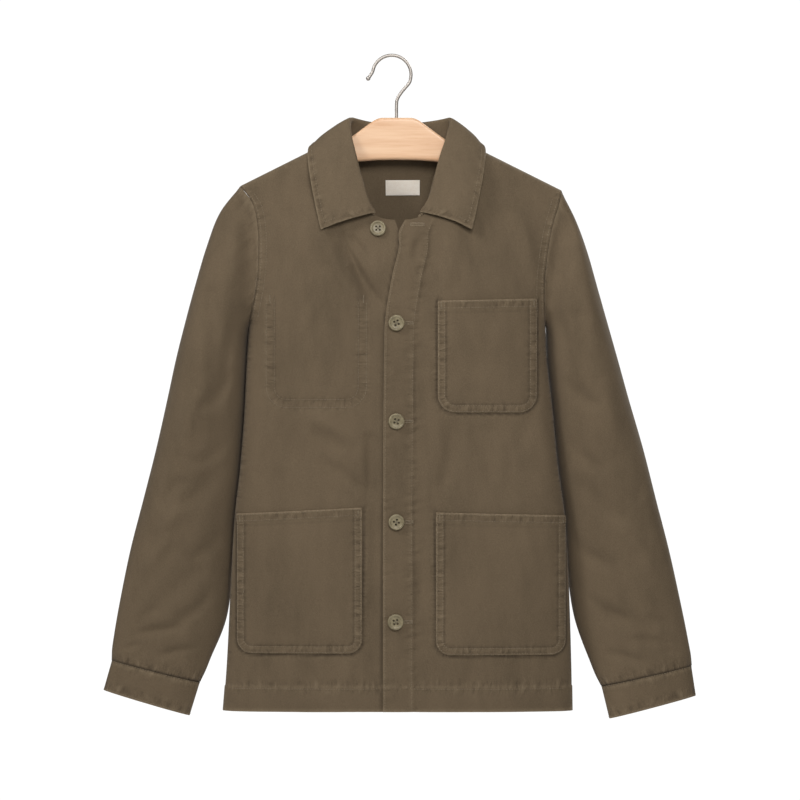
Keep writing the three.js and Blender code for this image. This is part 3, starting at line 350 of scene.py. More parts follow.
class Seam:
    """A line of the front view. It says how far along it, and how far aside, any point lies."""

    def __init__(self, points):
        self.points = np.array(points, float)

    def near(self, x, z):
        x, z = np.broadcast_arrays(np.asarray(x, float), np.asarray(z, float))
        nearest = np.full(x.shape, np.inf)
        along, aside = np.zeros(x.shape), np.zeros(x.shape)
        passed = 0
        for start, end in zip(self.points[:-1], self.points[1:]):
            run = end - start
            length = math.hypot(*run)
            share = np.clip(((x - start[0]) * run[0] + (z - start[1]) * run[1]) / length**2, 0, 1)
            gap_x, gap_z = x - start[0] - share * run[0], z - start[1] - share * run[1]
            gap = np.hypot(gap_x, gap_z)
            closer = gap < nearest
            side = np.sign(run[0] * gap_z - run[1] * gap_x)
            nearest = np.where(closer, gap, nearest)
            along = np.where(closer, passed + share * length, along)
            aside = np.where(closer, side * gap, aside)
            passed += length
        return along, aside


def ripple(along, pitch, seed):
    """Uneven waves from 0 to 1 along a seam."""
    drift = 1.7 * np.sin(2 * math.pi * along / (pitch * 3.1) + seed)
    swing = 0.6 + 0.4 * np.sin(2 * math.pi * along / (pitch * 5.3) + 2.3 * seed)
    return 0.5 + 0.5 * swing * np.sin(2 * math.pi * along / pitch + drift + 1.9 * seed)


def drawn_up(along, aside, pitch, reach, deep, seed):
    """Waves along a line that run out to both sides of it."""
    return deep * ripple(along, pitch, seed) * bell(aside, reach)


def pucker(seam, x, z, pitch, reach, deep, seed, slant=0.25):
    """Short troughs across a seam, as a line of stitching draws them."""
    along, aside = seam.near(x, z)
    return PUCKER_DEPTH * drawn_up(along + slant * aside, aside, pitch, reach, deep, seed)


def bands(distance, *lines):
    """Sum of soft lines beside an edge or seam, each with its distance, reach and strength."""
    return sum(much * bell(distance - far, reach) for far, reach, much in lines)


def swell(x, z, size, deep, seed, waves=9):
    """Broad uneven waviness of cloth that has been worn and washed."""
    random = np.random.RandomState(seed)
    total = np.zeros(np.broadcast(x, z).shape)
    for _ in range(waves):
        turn, wave = random.uniform(0, math.pi), size * random.uniform(0.7, 1.7)
        phase = random.uniform(0, 2 * math.pi)
        total += np.sin(2 * math.pi * (x * math.cos(turn) + z * math.sin(turn)) / wave + phase)
    return deep * total / math.sqrt(waves)


def patch_outline(patch, inset, below=0.0, corner_steps=6):
    """Line of stitching round the sides and bottom of a patch, as distances out and heights."""
    start, end = patch["start"] + inset, patch["end"] - inset
    bottom = patch["bottom"] + inset
    radius = max(patch["corner"] - inset, 1)
    points = [(start, patch["top_start"] - below)]
    for step in range(corner_steps + 1):
        turn = math.pi / 2 * step / corner_steps
        points.append((start + radius * (1 - math.cos(turn)), bottom + radius * (1 - math.sin(turn))))
    for step in range(corner_steps + 1):
        turn = math.pi / 2 * (1 - step / corner_steps)
        points.append((end - radius * (1 - math.cos(turn)), bottom + radius * (1 - math.sin(turn))))
    points.append((end, patch["top_end"] - below))
    return points


def patch_seam(patch, inset):
    sign = sign_of(patch["side"])
    return Seam([(sign * out, z) for out, z in patch_outline(patch, inset)])


SEAM_POINTS = 9
HEM_REACH = 230
OPENING_HEIGHTS = (-207, -221, -232, -246, -262, -277, -300, -322, -345, -420, -556, -700, -818)
OPENING_ROW = 4
FACING_INSIDE = 3


def edge_seam(side, low, high):
    heights = np.linspace(low, high, SEAM_POINTS)
    return Seam([(sign_of(side) * float(body_edge(side, z)), z) for z in heights])


def opening_seam(inset):
    """A line down the left front, at a distance from its own edge."""
    return Seam([(float(column(FRONT_EDGE, "left", z)) + inset, z) for z in OPENING_HEIGHTS])


def level_seam(z):
    return Seam([(-HEM_REACH, z), (HEM_REACH, z)])


def shoulder_seam(side):
    outs = (NECK_SIDE, body_edge(side, TIP_Z[side]))
    return Seam([(sign_of(side) * out, ridge(out)) for out in outs])


ARMHOLE_SEAMS = {side: edge_seam(side, UNDERARM_Z, TIP_Z[side]) for side in SIDES}
SIDE_SEAMS = {side: edge_seam(side, HEM_Z, UNDERARM_Z) for side in SIDES}
SHOULDER_SEAMS = {side: shoulder_seam(side) for side in SIDES}
OPENING_EDGE = opening_seam(0)
OPENING_SEAM = opening_seam(OPENING_ROW)
FACING_INNER = opening_seam(FACING_WIDTH - FACING_INSIDE)
FACING_SEAM = opening_seam(FACING_WIDTH)
HEM_SEAM = level_seam(HEM_Z + HEM_TALL)
HEM_EDGE = level_seam(HEM_Z)
INNER_BAND_WIDE = 10.5
INNER_BAND = patch_seam(INNER_POCKET, 0)
INNER_ROW_SEAM = patch_seam(INNER_POCKET, INNER_BAND_WIDE)
INNER_MIDDLE_ROW = patch_seam(INNER_POCKET, INNER_BAND_WIDE / 2)

# How stitching draws the cloth up beside a seam: pitch, reach and depth
HEM_PUCKER = (15, 9, 0.9)
HEM_EDGE_PUCKER = (21, 10, 0.5)
ARMHOLE_PUCKER = (17, 12, 0.9)
SIDE_PUCKER = (19, 9, 0.8)
SHOULDER_PUCKER = (16, 9, 0.6)
FACING_PUCKER = (17, 10, 1.25)
OPENING_PUCKER = (15, 9, 0.8)
POCKET_PUCKER = (13, 7, 0.6)
# Seeds of each panel's puckers at the hem, the armhole, the side and the shoulder
PUCKER_SEEDS = {
    ("front", "left"): (3.1, 0.7, 1.6, 2.9), ("front", "right"): (4.3, 2.7, 3.6, 4.9),
    ("back", "left"): (5.3, 3.7, 4.6, 0.9), ("back", "right"): (5.3, 6.7, 5.6, 1.9),
}
HEM_EDGE_SEEDS = {"left": 0.4, "right": 1.4}
FACING_SEED, OPENING_SEED = 1.0, 2.2
# Broad waviness of the cloth: size, depth and seed of each layer
SWELLS = {"front": ((95, 0.7, 11), (38, 0.22, 12)), "back": ((105, 0.9, 13), (42, 0.28, 14))}


def body_puckers(face, side):
    """Seams that draw one panel's cloth up, each with its pitch, reach, depth and seed."""
    hem, armhole, down_side, shoulder = PUCKER_SEEDS[face, side]
    puckers = [
        (HEM_SEAM, *HEM_PUCKER, hem), (ARMHOLE_SEAMS[side], *ARMHOLE_PUCKER, armhole),
        (SIDE_SEAMS[side], *SIDE_PUCKER, down_side), (SHOULDER_SEAMS[side], *SHOULDER_PUCKER, shoulder),
    ]
    if face == "front":
        puckers.append((HEM_EDGE, *HEM_EDGE_PUCKER, HEM_EDGE_SEEDS[side]))
        for name, patch in POCKETS.items():
            if patch["side"] == side:
                puckers.append((patch_seam(patch, 1), *POCKET_PUCKER, len(name) / 3))
    if (face, side) == ("front", "left"):
        puckers.append((FACING_SEAM, *FACING_PUCKER, FACING_SEED))
        puckers.append((OPENING_SEAM, *OPENING_PUCKER, OPENING_SEED))
    return puckers


BODY_PUCKERS = {panel: body_puckers(*panel) for panel in PUCKER_SEEDS}


def seam_relief(face, side, x, z):
    """Depth below the smooth cloth that its seams and pockets make on the body."""
    depth = np.zeros(np.broadcast(x, z).shape)
    for seam, pitch, reach, deep, seed in BODY_PUCKERS[face, side]:
        depth += pucker(seam, x, z, pitch, reach, deep, seed)
    if (face, side) == ("front", "right"):
        depth += inner_pocket_relief(x, z)
    return depth


# The inner pocket on the right front: a point inside it, which way is inward from its outline,
# how softly its band and its top end, and the drops between which its puckers get deeper. Then
# the puckers' pitch and seed, their middle and reach, their depths, and the band's height.
INNER_MIDDLE = (-(INNER_POCKET["start"] + INNER_POCKET["end"]) / 2, -370)
INNER_INWARD = float(np.sign(INNER_BAND.near(*INNER_MIDDLE)[1]))
INNER_EASE = 1.5
INNER_TOP_EASE = (-4, 2)
INNER_GROWING = (395, 425)
INNER_PITCH, INNER_SEED = 13, 0.6
INNER_PUCKER_IN, INNER_PUCKER_REACH = 5, 9
INNER_DEEP, INNER_DEEP_BELOW = 1.0, 1.3
INNER_BAND_HIGH = 0.9


def inner_pocket_relief(x, z):
    """The turned edges and the drawn corners of the pocket sewn inside the right front."""
    along, aside = INNER_BAND.near(x, z)
    inward = aside * INNER_INWARD
    below_top = smoothstep(-z, *(edge - INNER_POCKET["top_start"] for edge in INNER_TOP_EASE))
    past_band = smoothstep(inward, INNER_BAND_WIDE - INNER_EASE, INNER_BAND_WIDE + INNER_EASE)
    band = smoothstep(inward, -INNER_EASE, 1) * (1 - past_band)
    deep = INNER_DEEP + INNER_DEEP_BELOW * smoothstep(-z, *INNER_GROWING)
    drawn = drawn_up(along, inward - INNER_PUCKER_IN, INNER_PITCH, INNER_PUCKER_REACH, deep, INNER_SEED)
    return (drawn - INNER_BAND_HIGH * band) * below_top


def body_point(face, side, out, z, detail=True):
    """Points on the outer face of the body cloth, at a signed distance outward on one side."""
    out, z = np.broadcast_arrays(np.asarray(out, float), np.asarray(z, float))
    drop = np.maximum(ridge(np.abs(out)) - z, 0)
    hem_share = lerp(1, HEM_DEPTH_SHARE, (UNDERARM_Z - np.minimum(z, UNDERARM_Z)) / (UNDERARM_Z - HEM_Z))
    across = across_share(side, out, z)
    x = sign_of(side) * out
    calm_hem = smoothstep(z - HEM_Z, *FOLD_CALM_HEM)
    calm = across**2 * smoothstep(drop, *FOLD_CALM_TOP) * calm_hem
    depth = body_roll(np.abs(out), drop, DEPTH[face] * hem_share) * across
    depth -= fold_depth(BODY_FOLDS[face], x, z) * calm
    if detail:
        depth -= CREASE_DEPTH * fold_depth(BODY_CREASES[face], x, z, True) * calm
        for size, deep, seed in SWELLS[face]:
            depth -= swell(x, z, size, deep, seed) * across**2 * smoothstep(drop, *SWELL_CALM_TOP)
        calm = np.minimum(SEAM_CALM_SIDE * across, 1) * smoothstep(drop, *SEAM_CALM_TOP)
        depth -= seam_relief(face, side, x, z) * calm
    if (face, side) == ("front", "right"):
        lap = (1 - smoothstep(out, *LAP_FADE_OUT)) * smoothstep(ridge(out) - z, *LAP_FADE_DROP)
        depth -= FACING_LAP * lap
    y = OUTWARD[face] * (SEAM_GAP / 2 + depth)
    return np.stack([x, y, z], -1)


def unit(vectors):
    return vectors / np.maximum(np.linalg.norm(vectors, axis=-1, keepdims=True), 1e-9)


def outward_at(surface, out, z, facing, step=0.5):
    """Outward directions of a surface given as a function of distance outward and height."""
    across = surface(out + step, z) - surface(out - step, z)
    up = surface(out, z + step) - surface(out, z - step)
    normal = unit(np.cross(across, up))
    return normal * np.where(normal[..., 1:2] * facing < 0, -1, 1)


def grid_normals(grid, around=False):
    """Directions square to a grid of points, all on one side of it."""
    if around:
        across = np.roll(grid, -1, 1) - np.roll(grid, 1, 1)
    else:
        across = np.gradient(grid, axis=1)
    return unit(np.cross(across, np.gradient(grid, axis=0)))


def grid_faces(rows, columns, start=0, around=False, turned=False):
    places = np.arange(columns if around else columns - 1)
    row, place = np.meshgrid(np.arange(rows - 1), places, indexing="ij")
    after = (place + 1) % columns
    corners = [row * columns + place, row * columns + after, (row + 1) * columns + after,
               (row + 1) * columns + place]
    faces = np.stack([corner.ravel() for corner in corners], -1) + start
    return faces[:, ::-1] if turned else faces


def rim_faces(outer, inner):
    """Faces between two matching lines of points, given as index arrays."""
    return np.stack([outer[:-1], inner[:-1], inner[1:], outer[1:]], -1)


def wall_faces(rows, columns, around):
    """Faces of a closed wall between two grids: the outer one's, the inner one's and the rims'."""
    count = rows * columns
    index = np.arange(count).reshape(rows, columns)
    faces = [grid_faces(rows, columns, 0, around), grid_faces(rows, columns, count, around, turned=True)]
    top, foot = index[0], index[-1]
    if around:
        top, foot = np.append(top, top[0]), np.append(foot, foot[0])
    else:
        faces.append(rim_faces(index[:, 0], index[:, 0] + count)[:, ::-1])
        faces.append(rim_faces(index[:, -1], index[:, -1] + count))
    faces.append(rim_faces(top, top + count))
    faces.append(rim_faces(foot, foot + count)[:, ::-1])
    return np.concatenate(faces)


def add_piece(name, points, faces, material, smooth_angle=50, **values):
    """Mesh object from points in millimetres, with values kept at its points for the material."""
    mesh = bpy.data.meshes.new(name)
    metres = (np.asarray(points) + (CENTRE_X, 0, 0)) * MM
    mesh.from_pydata(metres.tolist(), [], faces.tolist() if isinstance(faces, np.ndarray) else faces)
    for label, data in values.items():
        data = np.asarray(data, np.float32)
        kind = "FLOAT_VECTOR" if data.ndim == 2 else "FLOAT"
        attribute = mesh.attributes.new(label, kind, "POINT")
        attribute.data.foreach_set("vector" if data.ndim == 2 else "value", data.ravel())
    mesh.polygons.foreach_set("use_smooth", np.ones(len(mesh.polygons), bool))
    mesh.set_sharp_from_angle(angle=math.radians(smooth_angle))
    mesh.materials.append(material)
    mesh.update()
    piece = bpy.data.objects.new(name, mesh)
    bpy.context.scene.collection.objects.link(piece)
    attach(piece, "root")
    return piece


# A nearest seam has changed where the way along it leaps by more than this
RUCK_LEAP = 9
# Sets the rucks of one seam apart from those of the next, so that they differ
RUCK_APART = 400


def add_wall(name, outer, inner, material, flat, wear, around=False, ruck=None):
    """Closed shell of cloth between an outer and an inner grid, turned so that it faces out."""
    rows, columns = outer.shape[:2]
    faces = wall_faces(rows, columns, around)
    points = np.concatenate([outer.reshape(-1, 3), inner.reshape(-1, 3)])
    corners = points[faces]
    middle = corners.mean(1)
    crossed = np.cross(corners[:, 2] - corners[:, 0], corners[:, 3] - corners[:, 1])
    if (middle * crossed).sum() < 0:
        faces = faces[:, ::-1]
    def both(grid):
        return np.concatenate([grid.reshape(rows * columns, -1)] * 2).squeeze()
    ruck = np.zeros((rows, columns, 3)) if ruck is None else calmed(ruck)
    return add_piece(name, points, faces, material, flat=both(flat * MM), wear=both(wear), ruck=both(ruck))


def calmed(ruck):
    """The rucks of a grid without those where the nearest seam changes from one point to the next."""
    broken = np.zeros(ruck.shape[:2], bool)
    for axis in (0, 1):
        leap = np.abs(np.diff(ruck[..., 0], axis=axis)) > RUCK_LEAP
        before, after = [slice(None)] * 2, [slice(None)] * 2
        before[axis], after[axis] = slice(None, -1), slice(1, None)
        broken[tuple(before)] |= leap
        broken[tuple(after)] |= leap
    for axis in (0, 1):
        broken |= np.roll(broken, 1, axis) | np.roll(broken, -1, axis)
    calm = ruck.copy()
    calm[broken, 2] = 0
    return calm


def wear_along(seams, x, z):
    """Wear near the seams, or painted shade where a strength is below zero: seams, with reach and strength.
    """
    total = np.zeros(np.broadcast(x, z).shape)
    for seam, reach, much in seams:
        _, aside = seam.near(x, z)
        total += much * bell(aside, reach)
    return np.clip(total, -1, 1)


def strongest(rucks):
    """One of several rucked stretches at each place: along, aside and strength."""
    chosen = np.zeros((*np.broadcast(*rucks[0]).shape, 3))
    for index, (along, aside, strength) in enumerate(rucks):
        here = np.stack(np.broadcast_arrays(along + float(RUCK_APART) * index, aside, strength), -1)
        chosen = np.where(here[..., 2:] > chosen[..., 2:], here, chosen)
    return chosen


def rucks_along(seams, x, z):
    """Where stitching rucks the cloth: seams, with the reach and strength of each."""
    rucks = []
    for seam, reach, much in seams:
        along, aside = seam.near(x, z)
        rucks.append((along, aside, much * bell(aside, reach)))
    return strongest(rucks)


# Body panels

NECK_COLUMNS = 28
SHOULDER_COLUMNS = 54
TOP_PASSES = 40
PLAIN_ROWS = 216
PLAIN_START = 15
PLAIN_END_GAP = 4
FIRST_ROWS = (0, 0.5, 1.3, 2.5, 4.2, 6.4, 9, 12)
HEM_ROWS = (-2, -0.7, 0.7, 2, 5, 8.5, 12, 15.5, 19, 22.5, 26, 29, 30.5, 31)
TINY = 0.01
HEM_STEP = 1
FACING_STEP = 1
RIGHT_HEM_STEP = 3


def panel_places(side, start_at, bottom_z):
    """Distances and heights of a grid over half a panel, rows down from its top line."""
    start = start_at(NECK_SIDE_Z)
    centre = float(start_at(bottom_z))
    neck = (NECK_SIDE - start) / (body_edge(side, TIP_Z[side]) - start)
    steps = np.arange(NECK_COLUMNS) / NECK_COLUMNS
    wider = np.arange(SHOULDER_COLUMNS + 1) / SHOULDER_COLUMNS
    shares = np.concatenate([
        neck * np.sin(math.pi / 2 * steps), neck + (1 - neck) * np.sin(math.pi / 2 * wider)
    ])

    def out_at(z):
        return lerp(start_at(z), body_edge(side, z), shares)

    def top_at(out):
        return np.where(out < NECK_SIDE, neckline(out, centre, bottom_z), ridge(out))

    low, high = np.full(shares.shape, float(UNDERARM_Z)), np.full(shares.shape, float(NECK_SIDE_Z))
    for _ in range(TOP_PASSES):
        middle = (low + high) / 2
        above = top_at(out_at(middle)) > middle
        low, high = np.where(above, middle, low), np.where(above, high, middle)
    top = (low + high) / 2
    top[-1] = TIP_Z[side]
    tall = TIP_Z[side] - HEM_Z
    plain = np.linspace(PLAIN_START, tall - HEM_TALL - PLAIN_END_GAP, PLAIN_ROWS)
    down = np.concatenate([FIRST_ROWS, plain, tall - HEM_TALL + np.array(HEM_ROWS)]) / tall
    z = lerp(top[None], HEM_Z, down[:, None])
    return lerp(start_at(z), body_edge(side, z), shares[None]), z


def panel_grids(face, side, out, z, relief):
    """Outer and inner grid of a panel. The inner one keeps in line at the side and shoulder."""
    surface = partial(body_point, face, side)
    points = surface(out, z)
    normal = outward_at(surface, out, z, OUTWARD[face])
    normal[z[:, -1] <= UNDERARM_Z + TINY, -1, 1] = 0
    normal[0, np.abs(out[0]) >= NECK_SIDE - TINY] = (sign_of(side) * SHOULDER_SLOPE, 0, 1)
    normal = unit(normal)
    return points + normal * relief[..., None], points - normal * WALL


def hem_relief(z):
    return TURNED_EDGE * smoothstep(-z, -HEM_Z - HEM_TALL - HEM_STEP, -HEM_Z - HEM_TALL + HEM_STEP)


def flat_of(out, z):
    """Places on the flat cloth, for the weave."""
    return np.stack([out, np.zeros(out.shape), z], -1)


def seam_wear(side, hem, shoulder):
    """Seams of a panel with the reach and strength of their wear, or of the painted shade beside them."""
    armhole = ARMHOLE_SEAMS[side]
    # The armhole has a dark line of painted shade beside a paler line of wear
    return [(HEM_SEAM, 2.5, hem), (HEM_EDGE, 2.5, 0.8), (SIDE_SEAMS[side], 3, 0.4),
            (armhole, 1.6, -0.9), (armhole, 4.5, 0.35), (SHOULDER_SEAMS[side], 3, shoulder)]


def seam_rucks(side, hem):
    """Seams of a panel with the reach and strength of their rucks."""
    return [(HEM_SEAM, 9, hem), (SIDE_SEAMS[side], 7, 0.6), (ARMHOLE_SEAMS[side], 10, 0.8),
            (SHOULDER_SEAMS[side], 8, 0.6)]


def centre_line(z):
    return np.zeros(np.shape(z))


def build_back(material):
    halves = []
    for side in ("right", "left"):
        out, z = panel_places(side, centre_line, BACK_NECK_Z)
        if side == "left":
            out, z = out[:, 1:], z[:, 1:]
        outer, inner = panel_grids("back", side, out, z, hem_relief(z))
        x = sign_of(side) * out
        wear = wear_along(seam_wear(side, 0.3, 0.4), x, z)
        half = (outer, inner, flat_of(x, z), wear, rucks_along(seam_rucks(side, 1), x, z))
        halves.append([grid[:, ::-1] if side == "right" else grid for grid in half])
    outer, inner, flat, wear, ruck = (np.concatenate(grids, 1) for grids in zip(*halves))
    return add_wall("cloth_back", outer, inner, material, flat, wear, ruck=ruck)


def build_front(side, material):
    start_at = partial(front_edge, side)
    out, z = panel_places(side, start_at, FRONT_NECK_Z)
    if side == "right":
        relief = hem_relief(z) * smoothstep(out, FACING_WIDTH / 2, FACING_WIDTH / 2 + RIGHT_HEM_STEP)
    else:
        facing = 1 - smoothstep(out - start_at(z), FACING_WIDTH - FACING_STEP, FACING_WIDTH + FACING_STEP)
        relief = np.maximum(hem_relief(z), TURNED_EDGE * facing)
    outer, inner = panel_grids("front", side, out, z, relief)
    x = sign_of(side) * out
    worn_and_shaded, rucked = seam_wear(side, 0.25, 0.5), seam_rucks(side, 0.9)
    for patch in POCKETS.values():
        if patch["side"] == side:
            # A line of painted shade on the panel just outside each pocket's edge
            worn_and_shaded.append((patch_seam(patch, -1.5), 1.6, -0.75))
            rucked.append((patch_seam(patch, 0), 7, 0.7))
    if side == "left":
        # Wear at the opening's edge and inside the facing, and a line of painted shade at the facing's seam
        worn_and_shaded += [(OPENING_EDGE, 1.5, 0.5), (FACING_SEAM, 1.4, -0.3), (FACING_INNER, 2, 0.3)]
        rucked += [(FACING_INNER, 7, 0.6), (OPENING_SEAM, 6, 0.3)]
    else:
        # A painted shadow of the left front's lap along the opening edge, wear on the inner pocket's band
        # and painted shade at its inner row
        worn_and_shaded += [(OPENING_EDGE, 2, -0.8), (INNER_BAND, 2, 0.3), (INNER_ROW_SEAM, 1.6, -0.25)]
        rucked += [(INNER_MIDDLE_ROW, 8, 0.8)]
    wear, ruck = wear_along(worn_and_shaded, x, z), rucks_along(rucked, x, z)
    return add_wall(f"cloth_front_{side}", outer, inner, material, flat_of(x, z), wear, ruck=ruck)


# Sleeves and cuffs

SLEEVE_TURNS = 104
SLEEVE_RING_COUNT = 200
TURNS = 2 * math.pi * np.arange(SLEEVE_TURNS) / SLEEVE_TURNS
FIRST_RING_SHARES = (0.12, 0.4, 1.2)
# Gathers above the cuff: how many go round, their least and further depth, reach and power, and
# the swelling between them: height, place and reach
GATHER_COUNT = 17
GATHER_LEAST, GATHER_MORE, GATHER_REACH, GATHER_POWER = 0.3, 1.5, 22, 1.5
GATHER_SWELL, GATHER_SWELL_AT = 1.6, 12
GATHER_SEEDS = {"left": 1.0, "right": 2.0}
GATHER_SIDE_SHARE = 0.35
# Puckers below the armhole: how many go round, depth, seed, reach and where they begin
CAP_COUNT, CAP_DEEP, CAP_SEED, CAP_REACH, CAP_START = 21, 0.8, 3.0, 12, 6
CUFF_CALM = 3
# Lines of wear, of painted shade where the strength is below zero, and of rucks: distance, reach
# and strength at the armhole, the cuff's seam, the under-arm seam and the cuff's edge
SLEEVE_WEAR_TOP, SLEEVE_SHADE_LOW, SLEEVE_WEAR_UNDER = (0, 3.5, 0.6), (0, 1.8, -0.9), (0, 3, 0.35)
SLEEVE_RUCK_TOP, SLEEVE_RUCK_LOW = (0, 10, 0.7), (0, 13, 1)
CUFF_WEAR_AND_SHADE_SEAM, CUFF_WEAR_EDGE = ((3, 2, 0.5), (0, 1.5, -0.8)), (0, 2, 0.9)
CUFF_RUCK_SEAM, CUFF_RUCK_EDGE = (0, 9, 1), (6, 8, 0.9)
UNDER_ARM_TURN = 3
# Waves of the cuff's cloth at its seam and edge: pitch, reach, depth and seed
CUFF_SEAM_WAVES, CUFF_EDGE_WAVES = (15, 8, 0.7, 5.0), (17, 8, 0.6, 1.3)
SLEEVE_FLAT_START = 300
CUFF_GIRTH = 245
CUFF_TALL = 40
CUFF_SWELL = 0.5
CUFF_RINGS = (0, 0.03, 0.07, 0.12, 0.2, 0.28, 0.36, 0.44, 0.52, 0.6, 0.68, 0.76, 0.84, 0.9, 0.95, 0.98, 1)


def armhole_points(side, turns):
    """Points of the armhole's edge and their outward directions, at each turn round the sleeve."""
    level = (1 + np.cos(turns)) / 2
    z = lerp(UNDERARM_Z, TIP_Z[side], level)
    out = body_edge(side, z)
    points, normals = np.zeros((len(turns), 3)), np.zeros((len(turns), 3))
    for face, chosen in (("front", turns < math.pi), ("back", turns >= math.pi)):
        surface = partial(body_point, face, side)
        points[chosen] = surface(out[chosen], z[chosen])
        normals[chosen] = outward_at(surface, out[chosen], z[chosen], OUTWARD[face])
    points[[0, len(turns) // 2], 1] = 0
    normals[0] = (sign_of(side) * SHOULDER_SLOPE, 0, 1)
    normals[len(turns) // 2] = (sign_of(side), 0, 0)
    return points, unit(normals)


def ring_points(side, ring, turns, detail=True):
    """Points of rings of a sleeve or cuff, from the outer one round the front and the back."""
    level = (1 + np.cos(turns)) / 2
    x = lerp(ring["inner_x"], ring["outer_x"], level)
    z = lerp(ring["inner_z"], ring["outer_z"], level)
    round_share = np.abs(np.sin(turns)) ** (2 / SLEEVE_ROUNDNESS)
    front = np.broadcast_to(turns < math.pi, x.shape)
    depth = ring["depth"] * round_share
    for face, chosen in (("front", front), ("back", ~front)):
        folds = fold_depth(SLEEVE_FOLDS[side, face], x, z)
        if detail:
            folds = folds + CREASE_DEPTH * fold_depth(SLEEVE_CREASES[side, face], x, z, True)
            for size, deep, seed in SWELLS[face]:
                folds = folds + swell(x, z, size, deep, seed + (side == "left"))
        depth = depth - np.where(chosen, folds, 0) * round_share**2
    y = np.where(front, -depth, depth) + ring["lean"] * (1 - level)
    return np.stack([sign_of(side) * x, y, z], -1)


def ring_table(side, place):
    rings = SLEEVES[side]
    names = RING_NAMES.split()[1:]
    return {name: column(rings, name, place, "ring")[:, None] for name in names}


def tube_normals(grid):
    normal = grid_normals(grid, around=True)
    half = grid.shape[1] // 2
    centre = (grid[:, :1] + grid[:, half:half + 1]) / 2
    aside = (normal * (grid - centre)).sum(-1, keepdims=True)
    return normal * np.where(aside.sum() < 0, -1, 1)


def sleeve_rings(side, seam):
    """Smooth rings of a sleeve, drawn over to the armhole at its top."""
    place = (len(SLEEVES[side]["ring"]) - 1) * np.linspace(0, 1, SLEEVE_RING_COUNT)
    place[1:4] = place[1] * np.array(FIRST_RING_SHARES)
    place[1:] = np.sort(place[1:])
    free = ring_points(side, ring_table(side, place), TURNS[None])
    first = ring_points(side, ring_table(side, np.zeros(1)), TURNS[None])
    blend = (1 - smoothstep(place, 0, ARMHOLE_BLEND_RINGS))[:, None, None]
    return free + (seam[None] - first) * blend


def round_the_arm(girth, grid):
    """Lengths round a tube of cloth at the points of its grid."""
    return np.broadcast_to((TURNS / (2 * math.pi) * girth)[None], grid.shape[:2])


def gathered(side, grid, around, girth, down, left):
    """The sleeve's rings with their gathers above the cuff and puckers below the armhole."""
    waves = ripple(around, girth / GATHER_COUNT, GATHER_SEEDS[side])
    gathers = (GATHER_LEAST + GATHER_MORE * waves) * np.exp(-((left / GATHER_REACH) ** GATHER_POWER))
    gathers = gathers - GATHER_SWELL * bell(left - GATHER_SWELL_AT, GATHER_SWELL_AT)
    cap = drawn_up(around, down, girth / CAP_COUNT, CAP_REACH, CAP_DEEP, CAP_SEED)
    cap = cap * smoothstep(down, 0, CAP_START)
    level = lerp(GATHER_SIDE_SHARE, 1, np.abs(np.sin(TURNS))[None])
    depth = (gathers * level + cap) * smoothstep(left, 0, CUFF_CALM)
    return grid - tube_normals(grid) * depth[..., None]


def sleeve_wear(girth, down, left):
    # Wear at the armhole and under the arm; at the cuff's seam a line of painted shade
    under = np.minimum(np.abs(TURNS - math.pi), UNDER_ARM_TURN)[None] * girth / (2 * math.pi)
    wear = bands(down, SLEEVE_WEAR_TOP) + bands(left, SLEEVE_SHADE_LOW) + bands(under, SLEEVE_WEAR_UNDER)
    return np.clip(wear, -1, 1)


def build_sleeve(side, material):
    seam, seam_normals = armhole_points(side, TURNS)
    grid = sleeve_rings(side, seam)
    height = np.cumsum(np.linalg.norm(np.diff(grid.mean(1), axis=0), axis=-1))
    down = np.concatenate([[0], height])[:, None]
    left = down[-1] - down
    girth = np.linalg.norm(np.diff(grid[SLEEVE_RING_COUNT // 2], axis=0), axis=-1).mean() * SLEEVE_TURNS
    around = round_the_arm(girth, grid)
    grid = gathered(side, grid, around, girth, down, left)
    # The first ring stands off the armhole by the width of the seam
    way = unit(grid[1] - grid[0])
    way[:, 0] += sign_of(side)
    grid[0] += SEAM_GAP * unit(way)
    normal = tube_normals(grid)
    normal[0] = seam_normals
    wear = np.broadcast_to(sleeve_wear(girth, down, left), around.shape)
    flat = flat_of(around + SLEEVE_FLAT_START, -np.broadcast_to(down, around.shape))
    low, top = bands(left, SLEEVE_RUCK_LOW), bands(down, SLEEVE_RUCK_TOP)
    ruck = strongest([(around, left, low), (around, down, top)])
    inner = grid - normal * WALL
    return add_wall(f"cloth_sleeve_{side}", grid, inner, material, flat, wear, True, ruck)


def cuff_grid(side):
    """Rings of a cuff, from the sleeve's seam to its edge, with their places on the flat cloth."""
    rings, end = SLEEVES[side], CUFF_END[side]
    shares = np.array(CUFF_RINGS, float)[:, None]
    ring = {name: lerp(rings[name][-1], end[name], shares) for name in RING_NAMES.split()[1:]}
    ring["outer_x"] -= CUFF_INSET * (1 - shares)
    ring["inner_x"] += CUFF_INSET * (1 - shares)
    ring["outer_z"] -= SEAM_GAP * (1 - shares)
    ring["inner_z"] -= SEAM_GAP * (1 - shares)
    grid = ring_points(side, ring, TURNS[None], detail=False)
    around = round_the_arm(CUFF_GIRTH, grid)
    tall = CUFF_TALL * shares
    waves = drawn_up(around, tall, *CUFF_SEAM_WAVES) + drawn_up(around, CUFF_TALL - tall, *CUFF_EDGE_WAVES)
    waves = waves * np.abs(np.sin(TURNS))[None]
    return grid - tube_normals(grid) * (waves - CUFF_SWELL)[..., None], around, tall


